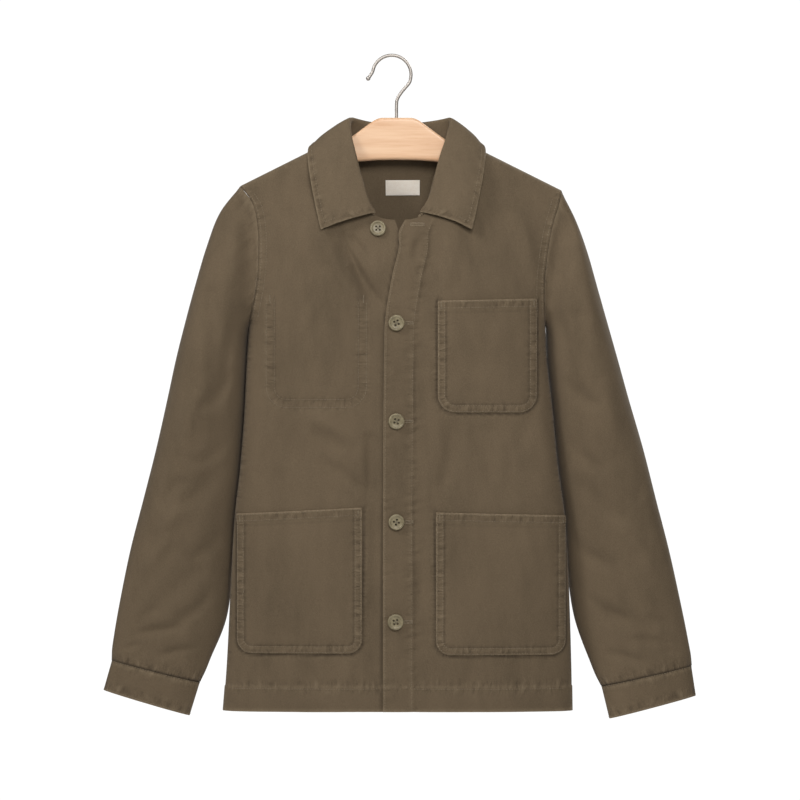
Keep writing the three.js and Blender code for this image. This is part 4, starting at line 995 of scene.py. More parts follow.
def build_cuff(side, material):
    grid, around, tall = cuff_grid(side)
    to_edge = CUFF_TALL - tall
    # Wear at the cuff's edge; at its seam, wear beside a line of painted shade
    wear = np.broadcast_to(bands(tall, *CUFF_WEAR_AND_SHADE_SEAM) + bands(to_edge, CUFF_WEAR_EDGE), around.shape)
    flat = flat_of(around, -np.broadcast_to(tall, around.shape))
    low, high = bands(to_edge, CUFF_RUCK_EDGE), bands(tall, CUFF_RUCK_SEAM)
    ruck = strongest([(around, tall, high), (around, to_edge, low)])
    inner = grid - tube_normals(grid) * CUFF_WALL
    return add_wall(f"cloth_cuff_{side}", grid, inner, material, flat, wear, True, ruck)


# Collar

COLLAR_STATIONS = 100
SECTION_STEPS = (9, 9, 4, 4, 13, 13, 11, 8)
COLLAR_WELT = 0.7
COLLAR_EASE = 26
# The fall begins between these lengths from the neck seam, and its welt ends between these
# lengths from the edge
FALL_START = (44, 56)
WELT_END = (4.5, 7)
COLLAR_ROW_IN = 6
COLLAR_ROW_START = 52
# Size, depth and seed of the swells, and pitch, reach, depth and seed of the waves along the
# collar's edge and its ends
COLLAR_SWELL = (70, 0.5, 21)
COLLAR_EDGE_WAVES, COLLAR_END_WAVES = (15, 7, 0.9, 2.0), (13, 7, 0.7, 1.0)
# Wear all over the collar, and lines beside its edge of wear, or of painted shade where the
# strength is below zero: distance, reach and strength
COLLAR_WORN = 0.12
COLLAR_WEAR_AND_SHADE = ((0, 1.6, 1), (5, 1.5, -0.35))
COLLAR_RUCK = (5, 7, 0.8)
COLLAR_EDGE_SHARE = 0.45


def catmull(points, steps):
    """Smooth curve through points on the second axis from the end, with steps in each stretch."""
    count = points.shape[-2]
    padded = np.concatenate([
        2 * points[..., :1, :] - points[..., 1:2, :], points,
        2 * points[..., -1:, :] - points[..., -2:-1, :],
    ], -2)
    parts = []
    for index in range(count - 1):
        p0, p1, p2, p3 = (padded[..., index + k:index + k + 1, :] for k in range(4))
        t = (np.arange(steps[index] + (index == count - 2)) / steps[index])[:, None]
        parts.append(0.5 * (2 * p1 + (p2 - p0) * t + (2 * p0 - 5 * p1 + 4 * p2 - p3) * t**2
                            + (3 * p1 - p0 - 3 * p2 + p3) * t**3))
    return np.concatenate(parts, -2)


def neck_points(face, side, out):
    """Points of the neck seam at distances outward."""
    if face == "front":
        centre, bottom_z = float(front_edge(side, FRONT_NECK_Z)), FRONT_NECK_Z
    else:
        centre, bottom_z = 0, BACK_NECK_Z
    return body_point(face, side, out, neckline(out, centre, bottom_z))


def collar_sections(side, place):
    """Sections of the collar, from the neck seam up to the roll and down to the edge."""
    value = {name: column(COLLAR, name, place, "at") for name in COLLAR}
    seam_out = np.minimum(value["seam"], NECK_SIDE)
    front = (place <= SIDE_STATION)[:, None]
    seam = np.where(front, neck_points("front", side, seam_out), neck_points("back", side, seam_out))
    sign = sign_of(side)
    roll = np.stack([sign * value["roll_x"] + value["shift"], value["roll_y"], value["roll_z"]], -1)
    edge = np.stack([sign * value["edge_x"], value["edge_y"], value["edge_z"]], -1)
    down = unit((seam + edge) / 2 - roll)
    outward = edge - seam
    outward = unit(outward - down * (outward * down).sum(-1, keepdims=True))
    centre = roll + down * ROLL_RADIUS
    inside, outside = centre - outward * ROLL_RADIUS, centre + outward * ROLL_RADIUS
    seam = seam + unit(inside - seam) * COLLAR_LIFT
    points = [seam, lerp(seam, inside, 0.5), inside, roll, outside]
    for share in FALL_SHARES:
        points.append(lerp(outside, edge, share) + outward * FALL_BULGE * math.sin(math.pi * share))
    return catmull(np.stack(points, 1), SECTION_STEPS)


def collar_grid():
    """The collar's hidden and visible face and its directions, then the lengths along it, across
    it from the neck seam, to its edge and to its nearer end."""
    place = np.linspace(0, len(COLLAR["at"]) - 1, COLLAR_STATIONS + 1)
    left, right = collar_sections("left", place), collar_sections("right", place)
    grid = np.concatenate([left, right[:-1][::-1]])
    for _ in range(COLLAR_EASE):
        grid[1:-1] = (grid[:-2] + 2 * grid[1:-1] + grid[2:]) / 4
    normal = grid_normals(grid)
    steps = np.linalg.norm(np.diff(grid, axis=1), axis=-1)
    across = np.concatenate([np.zeros((len(grid), 1)), np.cumsum(steps, 1)], 1)
    to_edge = across[:, -1:] - across
    edge_steps = np.linalg.norm(np.diff(grid[:, -1], axis=0), axis=-1)
    along = np.concatenate([[0], np.cumsum(edge_steps)])[:, None] + 0 * across
    end = np.minimum(along, along[-1, -1] - along)
    nearest = np.minimum(to_edge, end)
    waves = drawn_up(along, to_edge - COLLAR_ROW_IN, *COLLAR_EDGE_WAVES)
    waves += drawn_up(across, end - COLLAR_ROW_IN, *COLLAR_END_WAVES) + swell(along, across, *COLLAR_SWELL)
    welt = COLLAR_WELT * (1 - smoothstep(nearest, *WELT_END))
    grid = grid + normal * ((welt - waves) * smoothstep(across, *FALL_START))[..., None]
    normal = grid_normals(grid)
    rounded = COLLAR_WALL * lerp(COLLAR_EDGE_SHARE, 1, smoothstep(nearest, -0.5, 2.5))
    visible = grid + normal * rounded[..., None]
    return grid, visible, normal, along, across, to_edge, end


def build_collar(material):
    grid, visible, _, along, across, to_edge, end = collar_grid()
    # A pale worn edge and, further in, a line of painted shade beside the row of stitches
    wear = COLLAR_WORN + bands(np.minimum(to_edge, end), *COLLAR_WEAR_AND_SHADE)
    ruck = strongest([(along, to_edge, bands(to_edge, COLLAR_RUCK)), (across, end, bands(end, COLLAR_RUCK))])
    flat = flat_of(along, -across)
    return add_wall("cloth_collar", visible, grid, material, flat, np.clip(wear, 0, 1), ruck=ruck)


# Pockets and label

PATCH_EDGE_STEPS = (0, 0.4, 1.1, 2.2, 3.8, 5.8, 8, 10.4, 13, 15.6, 18.2, 21)
PATCH_STEP = 2.2
PATCH_HEM_ROWS = (0, 0.5, 1.3, 2.6, 4.4, 6.4, 8.4, 9.8, 10.6, 11.4, 12.2)
PATCH_BULGE = 1.1
PATCH_BULGE_IN = (10, 45)
PATCH_BACK_LIFT = 0.15
PATCH_LEAST = 0.5
PATCH_EDGE_SHARE = 0.35
# The turned edge inside a patch's outline: height, and where it ends and begins
PATCH_TURNED, PATCH_TURNED_END, PATCH_TURNED_START = 0.45, (8, 11), (0.5, 2)
PATCH_HEM_STEP = 0.8
# Puckers at a patch's edge, its inner row of stitches and its turned top: pitch, reach and depth
PATCH_EDGE_PUCKER, PATCH_ROW_PUCKER, PATCH_HEM_PUCKER = (13, 5, 0.55), (15, 6, 0.8), (14, 5, 0.6)
PATCH_SWELL = 0.5
PATCH_CALM_EDGE = (0, 3)
# Lines of wear and of painted shade at its edge, at its turned top's stitches and inside its
# outline: distance, reach and strength
PATCH_EDGE_WEAR = (0, 1.4, 1)
PATCH_HEM_WEAR_AND_SHADE = ((0, 1.8, 0.35), (2.5, 1.5, -0.35))
PATCH_RIM_WEAR_AND_SHADE = ((7.5, 1.8, 0.35), (10, 1.5, -0.4))
PATCH_ROWS_CLOSER = 1.25
# Places of a patch on the flat cloth are moved by this, so that its weave isn't the panel's own
PATCH_FLAT_SHIFT = (13, 7)


def patch_place(patch, out, z, lift):
    """Points over a patch's front panel, lifted off its cloth."""
    surface = partial(body_point, "front", patch["side"])
    normal = outward_at(surface, out, z, OUTWARD["front"])
    return surface(out, z) + normal * np.asarray(lift)[..., None], normal


def patch_top(patch, out):
    """Height of a patch's top edge at distances outward."""
    start, end = patch["start"], patch["end"]
    return lerp(patch["top_start"], patch["top_end"], (out - start) / (end - start))


def patch_grid(patch):
    start, end, corner, bottom = (patch[name] for name in ("start", "end", "corner", "bottom"))
    near = np.array([edge for edge in PATCH_EDGE_STEPS if edge < corner] + [corner])
    count = max(round((end - start - 2 * corner) / PATCH_STEP), 2)
    middle = np.linspace(start + corner, end - corner, count + 1)[1:-1]
    nominal = np.concatenate([start + near, middle, end - near[::-1]])
    edge = np.minimum(np.minimum(nominal - start, end - nominal), corner)
    far = nominal > (start + end) / 2
    top = patch_top(patch, nominal)[None]
    cut = corner - edge
    low = bottom + corner - np.sqrt(np.maximum(corner**2 - cut**2, 0))
    hem_rows = np.array(PATCH_HEM_ROWS if patch["hem"] else (0.0,))
    rows = max(round((patch["top_start"] - bottom - hem_rows[-1]) / PATCH_STEP), 2)
    down = 1 - (1 - np.linspace(0, 1, rows + 1)[1:]) ** PATCH_ROWS_CLOSER
    z = np.concatenate([top - hem_rows[:, None], lerp(top - hem_rows[-1], low[None], down[:, None])])
    side_out = np.minimum(end, body_edge(patch["side"], z) - SIDE_INSET) - (end - nominal)[None]
    out = np.where(far[None] & (edge < corner)[None], side_out, nominal[None])
    return out, z


def patch_relief(patch, out, z):
    """How far a patch stands off its panel, and how worn it is, with painted shade beside its stitching."""
    x = sign_of(patch["side"]) * out
    rim = np.abs(patch_seam(patch, 0).near(x, z)[1])
    from_top = patch_top(patch, out) - z
    past_hem = from_top - patch["hem"]
    nearest = np.minimum(rim, from_top)
    lift = PATCH_GAP + POCKET_WALL * lerp(PATCH_EDGE_SHARE, 1, smoothstep(nearest, -0.4, 1.6))
    lift = lift + TURNED_EDGE * (1 - smoothstep(past_hem, -PATCH_HEM_STEP, PATCH_HEM_STEP))
    turned = (1 - smoothstep(rim, *PATCH_TURNED_END)) * smoothstep(rim, *PATCH_TURNED_START)
    lift = lift + PATCH_TURNED * turned + PATCH_BULGE * smoothstep(nearest, *PATCH_BULGE_IN)
    seed = patch["start"] + patch["bottom"] / 40
    waves = pucker(patch_seam(patch, 1), x, z, *PATCH_EDGE_PUCKER, seed)
    waves = waves + pucker(patch_seam(patch, 8), x, z, *PATCH_ROW_PUCKER, seed + 2)
    waves = waves + drawn_up(out, past_hem, *PATCH_HEM_PUCKER, seed)
    lift = lift - (waves - PATCH_SWELL) * smoothstep(nearest, *PATCH_CALM_EDGE)
    # Pale worn lines, each with a line of painted shade beside it at the turned top and inside the outline
    wear = bands(nearest, PATCH_EDGE_WEAR) + bands(past_hem, *PATCH_HEM_WEAR_AND_SHADE) + bands(rim, *PATCH_RIM_WEAR_AND_SHADE)
    return np.maximum(lift, PATCH_GAP + PATCH_LEAST), np.clip(wear, -1, 1)


def patch_rucks(patch, x, z):
    """Where the stitching round a patch and under its turned top rucks it."""
    sign, hem = sign_of(patch["side"]), patch["hem"] / 2
    top = Seam([(sign * patch[end], patch[f"top_{end}"] - hem) for end in ("start", "end")])
    return rucks_along([(patch_seam(patch, 5), 6.5, 1), (top, 6.5, 0.9)], x, z)


def build_patch(name, patch, material):
    out, z = patch_grid(patch)
    lift, wear = patch_relief(patch, out, z)
    outer, _ = patch_place(patch, out, z, lift)
    inner, _ = patch_place(patch, out, z, np.full(out.shape, PATCH_BACK_LIFT))
    x = sign_of(patch["side"]) * out
    flat = flat_of(x + PATCH_FLAT_SHIFT[0], z + PATCH_FLAT_SHIFT[1])
    ruck = patch_rucks(patch, x, z)
    return add_wall(f"cloth_{name}", outer, inner, material, flat, wear, ruck=ruck)


def build_inner_pocket(material):
    out, z = patch_grid(INNER_POCKET)
    near = -(WALL + INNER_POCKET_GAP)
    outer, _ = patch_place(INNER_POCKET, out, z, np.full(out.shape, near))
    inner, _ = patch_place(INNER_POCKET, out, z, np.full(out.shape, near - INNER_POCKET_WALL))
    flat = flat_of(out, z)
    return add_wall("cloth_inner_pocket", outer, inner, material, flat, np.zeros(out.shape))


LABEL = dict(centre_x=7.8, centre_z=-162.8, wide=43, tall=19, thick=0.6, gap=0.4)
LABEL_COLUMNS, LABEL_ROWS = 44, 20
LABEL_SEWN_ENDS = (17.5, 20)
LABEL_PUFF, LABEL_LOOSE_PUFF = 0.5, 0.25


def build_label(material):
    surface = partial(body_point, "back", "left")
    across = np.linspace(-0.5, 0.5, LABEL_COLUMNS)[None]
    down = np.linspace(0.5, -0.5, LABEL_ROWS)[:, None]
    out = LABEL["centre_x"] + LABEL["wide"] * across + 0 * down
    z = LABEL["centre_z"] + LABEL["tall"] * down + 0 * across
    normal = outward_at(surface, out, z, OUTWARD["back"])
    ends = smoothstep(np.abs(across) * LABEL["wide"], *LABEL_SEWN_ENDS)
    puff = LABEL_PUFF * np.cos(math.pi * down) * np.cos(math.pi * across) + LABEL_LOOSE_PUFF * (1 - ends)
    edge = np.minimum(LABEL["wide"] * (0.5 - np.abs(across)), LABEL["tall"] * (0.5 - np.abs(down)))
    thick = LABEL["thick"] * lerp(0.5, 1, smoothstep(edge, -0.3, 1.2)) + puff
    near = surface(out, z) - normal * (WALL + LABEL["gap"])
    outer = near - normal * thick[..., None]
    return add_wall("label_blank", outer, near, material, flat_of(out, z), np.zeros(out.shape))


# Stitching

STITCH_PITCH = 3.3
STITCH_LONG = 2.5
STITCH_RADIUS = 0.34
STITCH_SIDES = 5
# Rings along a stitch: place along it, height over the cloth and width
STITCH_RINGS = ((-0.5, -0.3, 0.3), (-0.3, 0.12, 0.9), (0, 0.24, 1.0), (0.3, 0.12, 0.9), (0.5, -0.3, 0.3))
STITCH_LIFT = 0.05
WAY_STEP = 0.6
TACK_RADIUS = 0.42


def spaced(points, pitch):
    """Points at even steps along a line, and the directions of the line there."""
    steps = np.linalg.norm(np.diff(points, axis=0), axis=-1)
    along = np.concatenate([[0], np.cumsum(steps)])
    count = max(int(along[-1] / pitch), 1)
    wanted = (np.arange(count) + 0.5) * along[-1] / count
    def at(place):
        return np.stack([np.interp(place, along, points[:, axis]) for axis in range(3)], -1)

    return at(wanted), unit(at(wanted + WAY_STEP) - at(wanted - WAY_STEP)), wanted / along[-1]


def stitches_at(centres, ways, normals, long=STITCH_LONG, radius=STITCH_RADIUS):
    """Points and faces of short rounded stitches whose ends dip into the cloth."""
    sides = np.cross(ways, normals)
    turn = 2 * math.pi * np.arange(STITCH_SIDES) / STITCH_SIDES
    rings = []
    for share, height, width in STITCH_RINGS:
        middle = centres + ways * long * share + normals * height
        spread = (normals[:, None] * np.sin(turn)[None, :, None]
                  + unit(sides)[:, None] * np.cos(turn)[None, :, None])
        rings.append(middle[:, None] + spread * radius * width)
    points = np.stack(rings, 1)
    count, rows = len(centres), len(STITCH_RINGS)
    per = rows * STITCH_SIDES
    one = grid_faces(rows, STITCH_SIDES, 0, around=True)
    faces = (one[None] + per * np.arange(count)[:, None, None]).reshape(-1, 4)
    caps = [list(range(STITCH_SIDES)), list(range(per - 1, per - STITCH_SIDES - 1, -1))]
    ends = [[corner + per * index for corner in cap] for index in range(count) for cap in caps]
    return points.reshape(-1, 3), faces.tolist() + ends


class Thread:
    """Gathers rows of stitches on one piece of cloth, then makes one mesh of them."""

    def __init__(self, name):
        self.name, self.points, self.faces = name, [], []

    def add(self, centres, ways, normals, **sizes):
        points, faces = stitches_at(centres, ways, unit(normals), **sizes)
        start = sum(len(part) for part in self.points)
        self.points.append(points)
        self.faces += [[corner + start for corner in face] for face in faces]

    def row(self, points, normals, pitch=STITCH_PITCH, **sizes):
        """A row of stitches along a line on the cloth."""
        centres, ways, shares = spaced(points, pitch)
        place = shares * (len(normals) - 1)
        low = np.clip(place.astype(int), 0, len(normals) - 2)
        part = (place - low)[:, None]
        self.add(centres, ways, normals[low] * (1 - part) + normals[low + 1] * part, **sizes)

    def build(self, material):
        return add_piece(self.name, np.concatenate(self.points), self.faces, material, 80)


def dense(points, step=2.0):
    """A front view line with points close together."""
    points = np.array(points, float)
    lengths = np.linalg.norm(np.diff(points, axis=0), axis=-1)
    along = np.concatenate([[0], np.cumsum(lengths)])
    wanted = np.linspace(0, along[-1], max(int(along[-1] / step), 2))
    return np.interp(wanted, along, points[:, 0]), np.interp(wanted, along, points[:, 1])


def lifted(face, side, lift, out, z):
    """Points over the body's cloth and its outward directions."""
    surface = partial(body_point, face, side)
    normal = outward_at(surface, out, z, OUTWARD[face])
    return surface(out, z) + normal * lift, normal


def body_row(thread, face, side, points, lift=STITCH_LIFT):
    """Stitches on the body along a line of distances out and heights."""
    thread.row(*lifted(face, side, lift, *dense(points)))


def on_patch(patch, lift, out, z):
    return patch_place(patch, out, z, patch_relief(patch, out, z)[0] + lift)


def square_to(way, normals):
    """One direction for every normal, turned square to it."""
    ways = np.tile(np.array(way, float), (len(normals), 1))
    return unit(ways - normals * (ways * normals).sum(-1, keepdims=True))


def bar_tack(thread, place, out, z, tall=9, rows=11, long=2.2):
    """A stack of close stitches at the end of a seam. place gives points and normals."""
    heights = z + tall * (np.arange(rows) / (rows - 1) - 0.5)
    points, normals = place(np.full(rows, float(out)), heights)
    thread.add(points, square_to((1, 0, 0), normals), normals, long=long, radius=TACK_RADIUS)


# Rows of stitches: lengths from the armhole and side edge, heights from the hem and shoulder
EDGE_ROWS = (3.5, 10)
EDGE_ROW_ENDS = (8, -10)
EDGE_ROW_POINTS = 14
HEM_ROW_Z = HEM_Z + HEM_TALL - 2.5
HEM_ROW_END = 12
HEM_ROW_STARTS = {"left": FACING_WIDTH - 16, "right": FACING_WIDTH / 2 + 4}
SHOULDER_ROW_BELOW, SHOULDER_ROW_END, SHOULDER_ROW_POINTS = 6, 8, 20
INNER_ROWS = (0.5, INNER_BAND_WIDE)
INNER_TACKS = (INNER_POCKET["start"] + 4, INNER_POCKET["end"] - 5)
OPENING_ROW_HEIGHTS = (-212, *OPENING_HEIGHTS[1:-1], -817)
OPENING_ROWS = (FACING_WIDTH - 2, 2.5)
# Buttonholes: from x, to x and height
BUTTONHOLES = ((18, 34, -212), (-7, 20, -335), (-7, 20, -457.5), (-7, 20, -583), (-8, 19, -707.5))
BUTTONHOLE_STITCHES = 34
BUTTONHOLE_HALF_TALL = 1.35
BUTTONHOLE_TACK = dict(tall=3.6, rows=6, long=1.6)
BUTTONHOLE_TACK_OUT = 0.4
PATCH_STITCH_ROWS = (1.6, 8.6)
CUFF_STITCH_ROWS = (0.05, 0.93)


def panel_rows(thread, face, side, hem_start):
    """The rows that every half panel has: two along its armhole and side, one over its hem."""
    low, high = EDGE_ROW_ENDS
    heights = np.linspace(UNDERARM_Z + low, TIP_Z[side] + high, EDGE_ROW_POINTS)
    for inset in EDGE_ROWS:
        body_row(thread, face, side, [(float(body_edge(side, z)) - inset, z) for z in heights])
    hem_end = float(body_edge(side, HEM_Z)) - HEM_ROW_END
    body_row(thread, face, side, [(hem_start, HEM_ROW_Z), (hem_end, HEM_ROW_Z)], TURNED_EDGE)


def stitch_body(material):
    for side in SIDES:
        thread = Thread(f"stitching_front_{side}")
        panel_rows(thread, "front", side, HEM_ROW_STARTS[side])
        if side == "left":
            stitch_opening(thread)
        else:
            stitch_inner_pocket(thread)
        thread.build(material)
    thread = Thread("stitching_back")
    for side in SIDES:
        panel_rows(thread, "back", side, 0)
        tip = float(body_edge(side, TIP_Z[side]))
        outs = np.linspace(NECK_SIDE + SHOULDER_ROW_END, tip - SHOULDER_ROW_END, SHOULDER_ROW_POINTS)
        body_row(thread, "back", side, [(out, float(ridge(out)) - SHOULDER_ROW_BELOW) for out in outs])
    thread.build(material)


def stitch_inner_pocket(thread):
    for inset in INNER_ROWS:
        body_row(thread, "front", "right", patch_outline(INNER_POCKET, inset, below=2))
    on_front = partial(lifted, "front", "right", 0)
    for out in INNER_TACKS:
        bar_tack(thread, on_front, out, INNER_POCKET["top_start"] + 2)


def stitch_opening(thread):
    """Rows down the turned facing of the left front, and the bound buttonholes."""
    for inset in OPENING_ROWS:
        line = [(float(front_edge("left", z)) + inset, z) for z in OPENING_ROW_HEIGHTS]
        body_row(thread, "front", "left", line, TURNED_EDGE)
    on_facing = partial(lifted, "front", "left", TURNED_EDGE + 0.1)
    shares = np.linspace(-1, 1, BUTTONHOLE_STITCHES)
    tall = BUTTONHOLE_HALF_TALL * np.sqrt(np.maximum(1 - shares**8, 0.1))
    for from_x, to_x, z in BUTTONHOLES:
        middle, half = (from_x + to_x) / 2, (to_x - from_x) / 2
        for way in (1, -1):
            points, normals = on_facing(middle + half * shares, z + way * tall)
            thread.add(points, square_to((0, 0, 1), normals), normals, long=2.1, radius=0.4)
        for end in (-1, 1):
            bar_tack(thread, on_facing, middle + end * (half + BUTTONHOLE_TACK_OUT), z, **BUTTONHOLE_TACK)


def stitch_patches(material):
    for name, patch in POCKETS.items():
        thread = Thread(f"stitching_{name}")
        ends = ((patch["start"] + 2, patch["top_start"]), (patch["end"] - 2, patch["top_end"]))
        top_rows = [[(out, top - below) for out, top in ends] for below in (2, patch["hem"] - 1.8)]
        for line in [patch_outline(patch, inset, below=1) for inset in PATCH_STITCH_ROWS] + top_rows:
            thread.row(*on_patch(patch, STITCH_LIFT, *dense(line)))
        for end, inward in (("start", 4.5), ("end", -4.5)):
            top = patch[f"top_{end}"]
            bar_tack(thread, partial(on_patch, patch, 0.1), patch[end] + inward, top - 6, tall=8)
        thread.build(material)


def stitch_collar(material):
    thread = Thread("stitching_collar")
    _, visible, normal, _, across, depth, end = collar_grid()
    rows = np.flatnonzero(end[:, 0] > COLLAR_ROW_IN)
    column_at = np.argmin(np.abs(depth - COLLAR_ROW_IN), axis=1)[rows]
    thread.row(smooth_line(visible[rows, column_at]), normal[rows, column_at])
    first = int(np.argmin(np.abs(end[:, 0] - COLLAR_ROW_IN)))
    for index in (first, len(visible) - 1 - first):
        chosen = (across[index] > COLLAR_ROW_START) & (depth[index] > COLLAR_ROW_IN - 1)
        thread.row(visible[index, chosen], normal[index, chosen])
    thread.build(material)


def smooth_line(points, passes=3):
    for _ in range(passes):
        middle = (points[:-2] + 2 * points[1:-1] + points[2:]) / 4
        points = np.concatenate([points[:1], middle, points[-1:]])
    return points


def stitch_cuffs(material):
    for side in SIDES:
        thread = Thread(f"stitching_cuff_{side}")
        grid, _, _ = cuff_grid(side)
        normal = tube_normals(grid)
        for share in CUFF_STITCH_ROWS:
            ring = int(np.argmin(np.abs(np.array(CUFF_RINGS) - share)))
            closed = np.concatenate([grid[ring], grid[ring, :1]])
            thread.row(closed, np.concatenate([normal[ring], normal[ring, :1]]))
        thread.build(material)


# Buttons

# Half section from the middle of the top round to the middle of the foot: radius and height
BUTTON_PROFILE = (
    (0, 2.25), (3.2, 2.25), (6.3, 2.3), (6.9, 2.55), (7.4, 3.0), (7.9, 3.4), (8.5, 3.6), (9.1, 3.45),
    (9.6, 2.95), (9.9, 2.3), (10, 1.6), (9.8, 0.9), (9.3, 0.3), (8.6, 0), (0, 0),
)
BUTTON_SEGMENTS = 56
BUTTON_HOLE_RADIUS = 1.4
BUTTON_HOLE_OUT = 2.15
DRILL_HEIGHTS = (9, 9, -9, -9)
DRILL_SEGMENTS = 14
# The two crossed threads in a button: length, radius, half their spacing, height and how much
# higher the upper one lies
BUTTON_THREAD = dict(long=5.6, radius=0.24)
BUTTON_THREAD_ASIDE = 0.24
BUTTON_THREAD_HIGH = 2.25
BUTTON_THREAD_OVER = 0.2
BUTTON_GAP = 0.4
# Name, side, x and z of the middle, and turn in degrees
BUTTONS = (
    ("button_1", "right", -23, -217, 0), ("button_2", "left", 0, -335, 20),
    ("button_3", "left", 0, -457.5, -14), ("button_4", "left", 0, -583, 33),
    ("button_5", "left", -1, -707.5, 8),
)


def lathe(profile, segments):
    """Points and faces of a half section turned round the upright axis."""
    profile = np.array(profile, float)
    turn = 2 * math.pi * np.arange(segments) / segments
    radii, heights = profile[1:-1, :1], profile[1:-1, 1:]
    rings = np.stack([radii * np.cos(turn), radii * np.sin(turn), heights + 0 * turn], -1).reshape(-1, 3)
    faces = grid_faces(len(radii), segments, 0, around=True, turned=True).tolist()
    points = np.concatenate([rings, [(0, 0, profile[0, 1]), (0, 0, profile[-1, 1])]])
    top, foot, last = len(rings), len(rings) + 1, len(rings) - segments
    for index in range(segments):
        after = (index + 1) % segments
        faces += [[top, index, after], [foot, last + after, last + index]]
    return points, faces


def add_bare(name, points, faces):
    """Object without a material or a ride, as a form to cut or to cut with, or for the stage."""
    mesh = bpy.data.meshes.new(name)
    mesh.from_pydata(points, [], faces)
    bare = bpy.data.objects.new(name, mesh)
    bpy.context.scene.collection.objects.link(bare)
    return bare


def button_mesh():
    """One drilled button, lying flat and facing up, made once for all of them."""
    points, faces = lathe(BUTTON_PROFILE, BUTTON_SEGMENTS)
    button = add_bare("button_shape", points.tolist(), faces)
    bore = [(BUTTON_HOLE_RADIUS * out, tall) for out, tall in zip((0, 1, 1, 0), DRILL_HEIGHTS)]
    drill, sides = lathe(bore, DRILL_SEGMENTS)
    cutters = []
    for x in (-BUTTON_HOLE_OUT, BUTTON_HOLE_OUT):
        for y in (-BUTTON_HOLE_OUT, BUTTON_HOLE_OUT):
            cutter = add_bare("drill", (drill + (x, y, 0)).tolist(), sides)
            cut = button.modifiers.new("holes", "BOOLEAN")
            cut.operation, cut.object, cut.solver = "DIFFERENCE", cutter, "EXACT"
            cutters.append(cutter)
    bpy.context.view_layer.update()
    drilled = button.evaluated_get(bpy.context.evaluated_depsgraph_get()).to_mesh()
    points = np.array([vertex.co for vertex in drilled.vertices])
    faces = [list(face.vertices) for face in drilled.polygons]
    for used in [button, *cutters]:
        bpy.data.objects.remove(used)
    return points, faces


def button_place(side, x, z):
    """Middle of a button's seat on the cloth, and its outward direction."""
    out, height = np.array([sign_of(side) * x], float), np.array([z], float)
    surface = partial(body_point, "front", side, detail=False)
    normal = outward_at(surface, out, height, OUTWARD["front"])[0]
    stand = (TURNED_EDGE if side == "left" else 0) + BUTTON_GAP
    return surface(out, height)[0] + normal * stand, normal


def build_buttons(material, thread_material):
    points, faces = button_mesh()
    for name, side, x, z, turn in BUTTONS:
        seat, normal = button_place(side, x, z)
        up = unit(np.array([0, 0, 1.0]) - normal * normal[2])
        angle = math.radians(turn)
        right = np.cross(up, normal) * math.cos(angle) + up * math.sin(angle)
        axes = np.stack([right, np.cross(normal, right), normal])
        piece = add_piece(f"{name}_drilled", seat + points @ axes, faces, material, 35)
        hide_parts(name)
        thread = Thread(f"{name}_thread")
        for y, over in ((1, BUTTON_THREAD_OVER), (-1, 0)):
            slant = np.array([1, y, 0]) / math.sqrt(2)
            square = np.array([-slant[1], slant[0], 0])
            for aside in (-BUTTON_THREAD_ASIDE, BUTTON_THREAD_ASIDE):
                middle = square * aside + (0, 0, BUTTON_THREAD_HIGH + over)
                thread.add((seat + middle @ axes)[None], (slant @ axes)[None], normal[None], **BUTTON_THREAD)
        thread.build(thread_material)


# Hanger and hook

BOARD_THICK = 13
BOARD_BEVEL = 4
# Edges of the board: distance from the middle and height
BOARD_TOP = (
    (0, -76.5), (21, -76.5), (28, -79.5), (61, -103.5), (72, -112.5), (84, -119), (100, -122),
    (120, -128), (162, -149), (168, -157),
)
BOARD_BOTTOM = ((0, -129.3), (25, -129.8), (50, -131.6), (162, -172), (168, -167))
BOARD_EASE = np.linspace(-3, 3, 7)
BOARD_COLUMNS = 170
BOARD_ROWS = 14
BEVEL_STEPS = 7
WIRE_RADIUS = 2.1
WIRE_SIDES = 16
HOOK_RADIUS = 24.2
HOOK_TURN = (-27.6, 156)
HOOK_ARC_STEPS = 12
HOOK_FOOT = ((0, -100), (0, -76.5), (0, -62), (1, -53), (6.5, -44))
HOOK_TAIL = ((-30.5, -19.5), (-35.6, -27))
HOOK_BALL_RADIUS = 2.9
HOOK_BALL_START = -0.72
HOOK_BALL_RINGS = 12
HOOK_CURVE_STEPS = 8


def board_edge(corners, out):
    """Height of the board's top or bottom edge, with its corners eased."""
    places, heights = zip(*corners)
    nearby = [np.interp(np.abs(out) + aside, places, heights) for aside in BOARD_EASE]
    return np.mean(nearby, axis=0)


